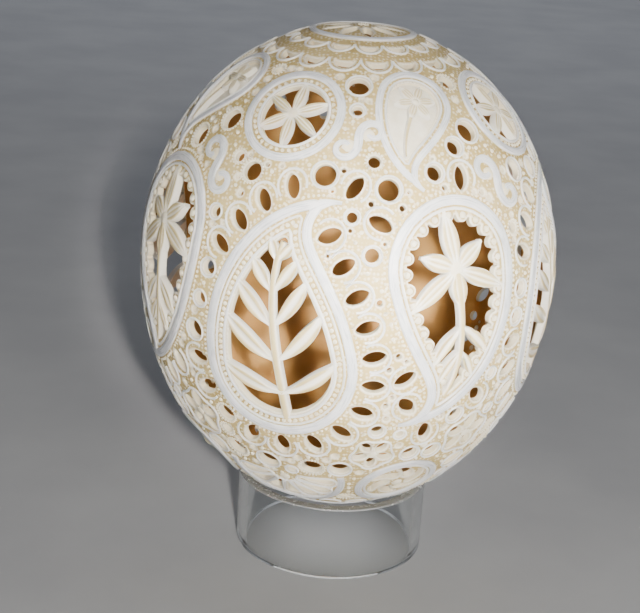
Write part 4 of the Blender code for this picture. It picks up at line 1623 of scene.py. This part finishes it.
def cut_wall():
    """The chalky sides of an opening."""
    return bare_shell(
        "cut_wall", 0.006, ("EADDBB", "F2E9D0"), (2500.0, 2.0), (0.4, 0.1 * MM), 0.6
    )


def lining_in_painted_shade():
    """The inside of the egg, with shallow pores. Its warm brown is painted shade: the real inside
    is paler, but lies in dim light.
    """
    # Painted shade: browns darker and warmer than the real cream inside, for the dim light within
    # the egg.
    colours = ("B48645", "BE9252")
    return bare_shell(
        "lining_in_painted_shade", 0.02, colours, (700.0, 3.0), (0.3, 0.2 * MM), 0.7, (0.35, 0.65)
    )


def burred_floor():
    """The floor of a sunk field: white, and rough from the burr."""
    return bare_shell(
        "burred_floor", 0.004, ("E6DDC6", "F2EDDF"), (1100.0, 3.0), (0.7, 0.3 * MM), 0.65
    )


for look in (carved_ground(), cut_wall(), lining_in_painted_shade(), burred_floor()):
    pierced_shell.data.materials.append(look)
print("shell finishes:", [look.name for look in pierced_shell.data.materials])

# %% [markdown]
# ## Skin and relief
# The skin that stands as bands is greyer and smoother than the ground, with faint scratches
# along it from filing. These run with the band, so they read the strip's own map, which
# measures millimetres along and across it. The leaves and beads were sanded by hand.


# %% Skin, leaves and beads
def filed_skin():
    finish, tree, shader = new_finish("filed_skin")
    _, patches = drift(tree, 0.009)
    strip = node(tree, "ShaderNodeUVMap", {}, uv_map="along_the_strip").outputs[0]
    stretched = node(tree, "ShaderNodeMapping", {"Vector": strip, "Scale": (0.16, 2.4, 1.0)})
    scratch = grain(tree, stretched.outputs[0], 1.0, 4.0)
    white = blend_colours(tree, fade(tree, patches, 0.35, 0.65), "DADDE1", "EEEFF1")
    filed = blend_colours(tree, fade(tree, scratch, 0.5, 0.66, 0.0, 0.7), white, "B4B8BE")
    # Painted shade: each band darkens to tan down its sides, as a shadow line where it meets the
    # ground.
    foot = fade(tree, noted(tree, "depth"), 0.3, 0.8)
    tree.links.new(blend_colours(tree, foot, filed, "BBA671"), shader.inputs["Base Color"])
    tree.links.new(fade(tree, scratch, 0.3, 0.7, 0.32, 0.5), shader.inputs["Roughness"])
    emboss(tree, shader, scratch, 0.7, 0.2 * MM)
    shader.inputs["Specular IOR Level"].default_value = 0.5
    return finish


def sanded_relief(name, low, high, roughness, deep=None, start=0.3, stop=0.8):
    """Relief sanded by hand. Where it is noted how deep it lies, its colour turns to another."""
    finish, tree, shader = new_finish(name)
    place, patches = drift(tree, 0.005)
    colour = blend_colours(tree, fade(tree, patches, 0.3, 0.7), low, high)
    if deep:
        colour = blend_colours(tree, fade(tree, noted(tree, "depth"), start, stop), colour, deep)
    tree.links.new(colour, shader.inputs["Base Color"])
    emboss(tree, shader, grain(tree, place, 1800.0), 0.3, 0.1 * MM)
    shader.inputs["Roughness"].default_value = roughness
    return finish


# Painted shade: the ridges darken to tan towards their foot, as a shadow line beside them. The
# leaves' white in their furrows and sides is the cut shell's own colour.
ridge_shell = sanded_relief("fine_ridge_shell", "E6E6E4", "F1F1EF", 0.42, "BBA671", 0.4, 0.9)
leaf_shell = sanded_relief("leaf_shell", "CFBA80", "DBCA98", 0.45, "F5F0E3", 0.14, 0.4)
bead_shell = sanded_relief("bead_shell", "EADFC0", "F8F3E4", 0.4)
raised_bands.data.materials.append(filed_skin())
fine_ridges.data.materials.append(ridge_shell)
leaf_sprays.data.materials.append(leaf_shell)
bead_rows.data.materials.append(bead_shell)
print("finishes on the relief")

# %% [markdown]
# ## Acrylic
# Clear acrylic bends light a little less than glass does: its index is 1.49. It is nearly
# colourless, so all of its look comes from the rims and from what shows through it. A little
# dust takes the shine off in places, and the sawn top rim is duller than the rest.


# %% Clear acrylic
ACRYLIC_INDEX = 1.49


def acrylic(name, patch, haze, transmission):
    """See-through acrylic. haze is where its patches start and stop, and how rough they are."""
    finish, tree, shader = new_finish(name)
    place, patches = drift(tree, patch)
    tree.links.new(fade(tree, patches, *haze), shader.inputs["Roughness"])
    shader.inputs["Base Color"].default_value = paint("F7F9F9")
    shader.inputs["IOR"].default_value = ACRYLIC_INDEX
    shader.inputs["Transmission Weight"].default_value = transmission
    return finish, tree, shader, place


def clear_acrylic():
    return acrylic("clear_acrylic", 0.008, (0.5, 0.8, 0.02, 0.09), 1.0)[0]


def sawn_acrylic():
    finish, tree, shader, place = acrylic("sawn_acrylic", 0.003, (0.3, 0.7, 0.1, 0.35), 0.7)
    emboss(tree, shader, grain(tree, place, 2200.0), 0.42, 0.2 * MM)
    return finish


clear_ring.data.materials.append(clear_acrylic())
clear_ring.data.materials.append(sawn_acrylic())
print("ring is clear, with a duller top rim")

# %% [markdown]
# ## Hand over
# Every piece says what it rides on and which plain solid it stands for, which is then hidden.
# The box before and after is printed, so that the two can be set side by side.

# %% Ride and replace
for piece in (pierced_shell, leaf_sprays, raised_bands, fine_ridges, bead_rows):
    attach(piece, "root")
    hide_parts("egg")
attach(clear_ring, "root")
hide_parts("ring_stand")

dressed_low, dressed_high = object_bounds()
for name, low, high in (("cad", cad_low, cad_high), ("visual", dressed_low, dressed_high)):
    print(name, in_mm((*low, *high)), "mm")
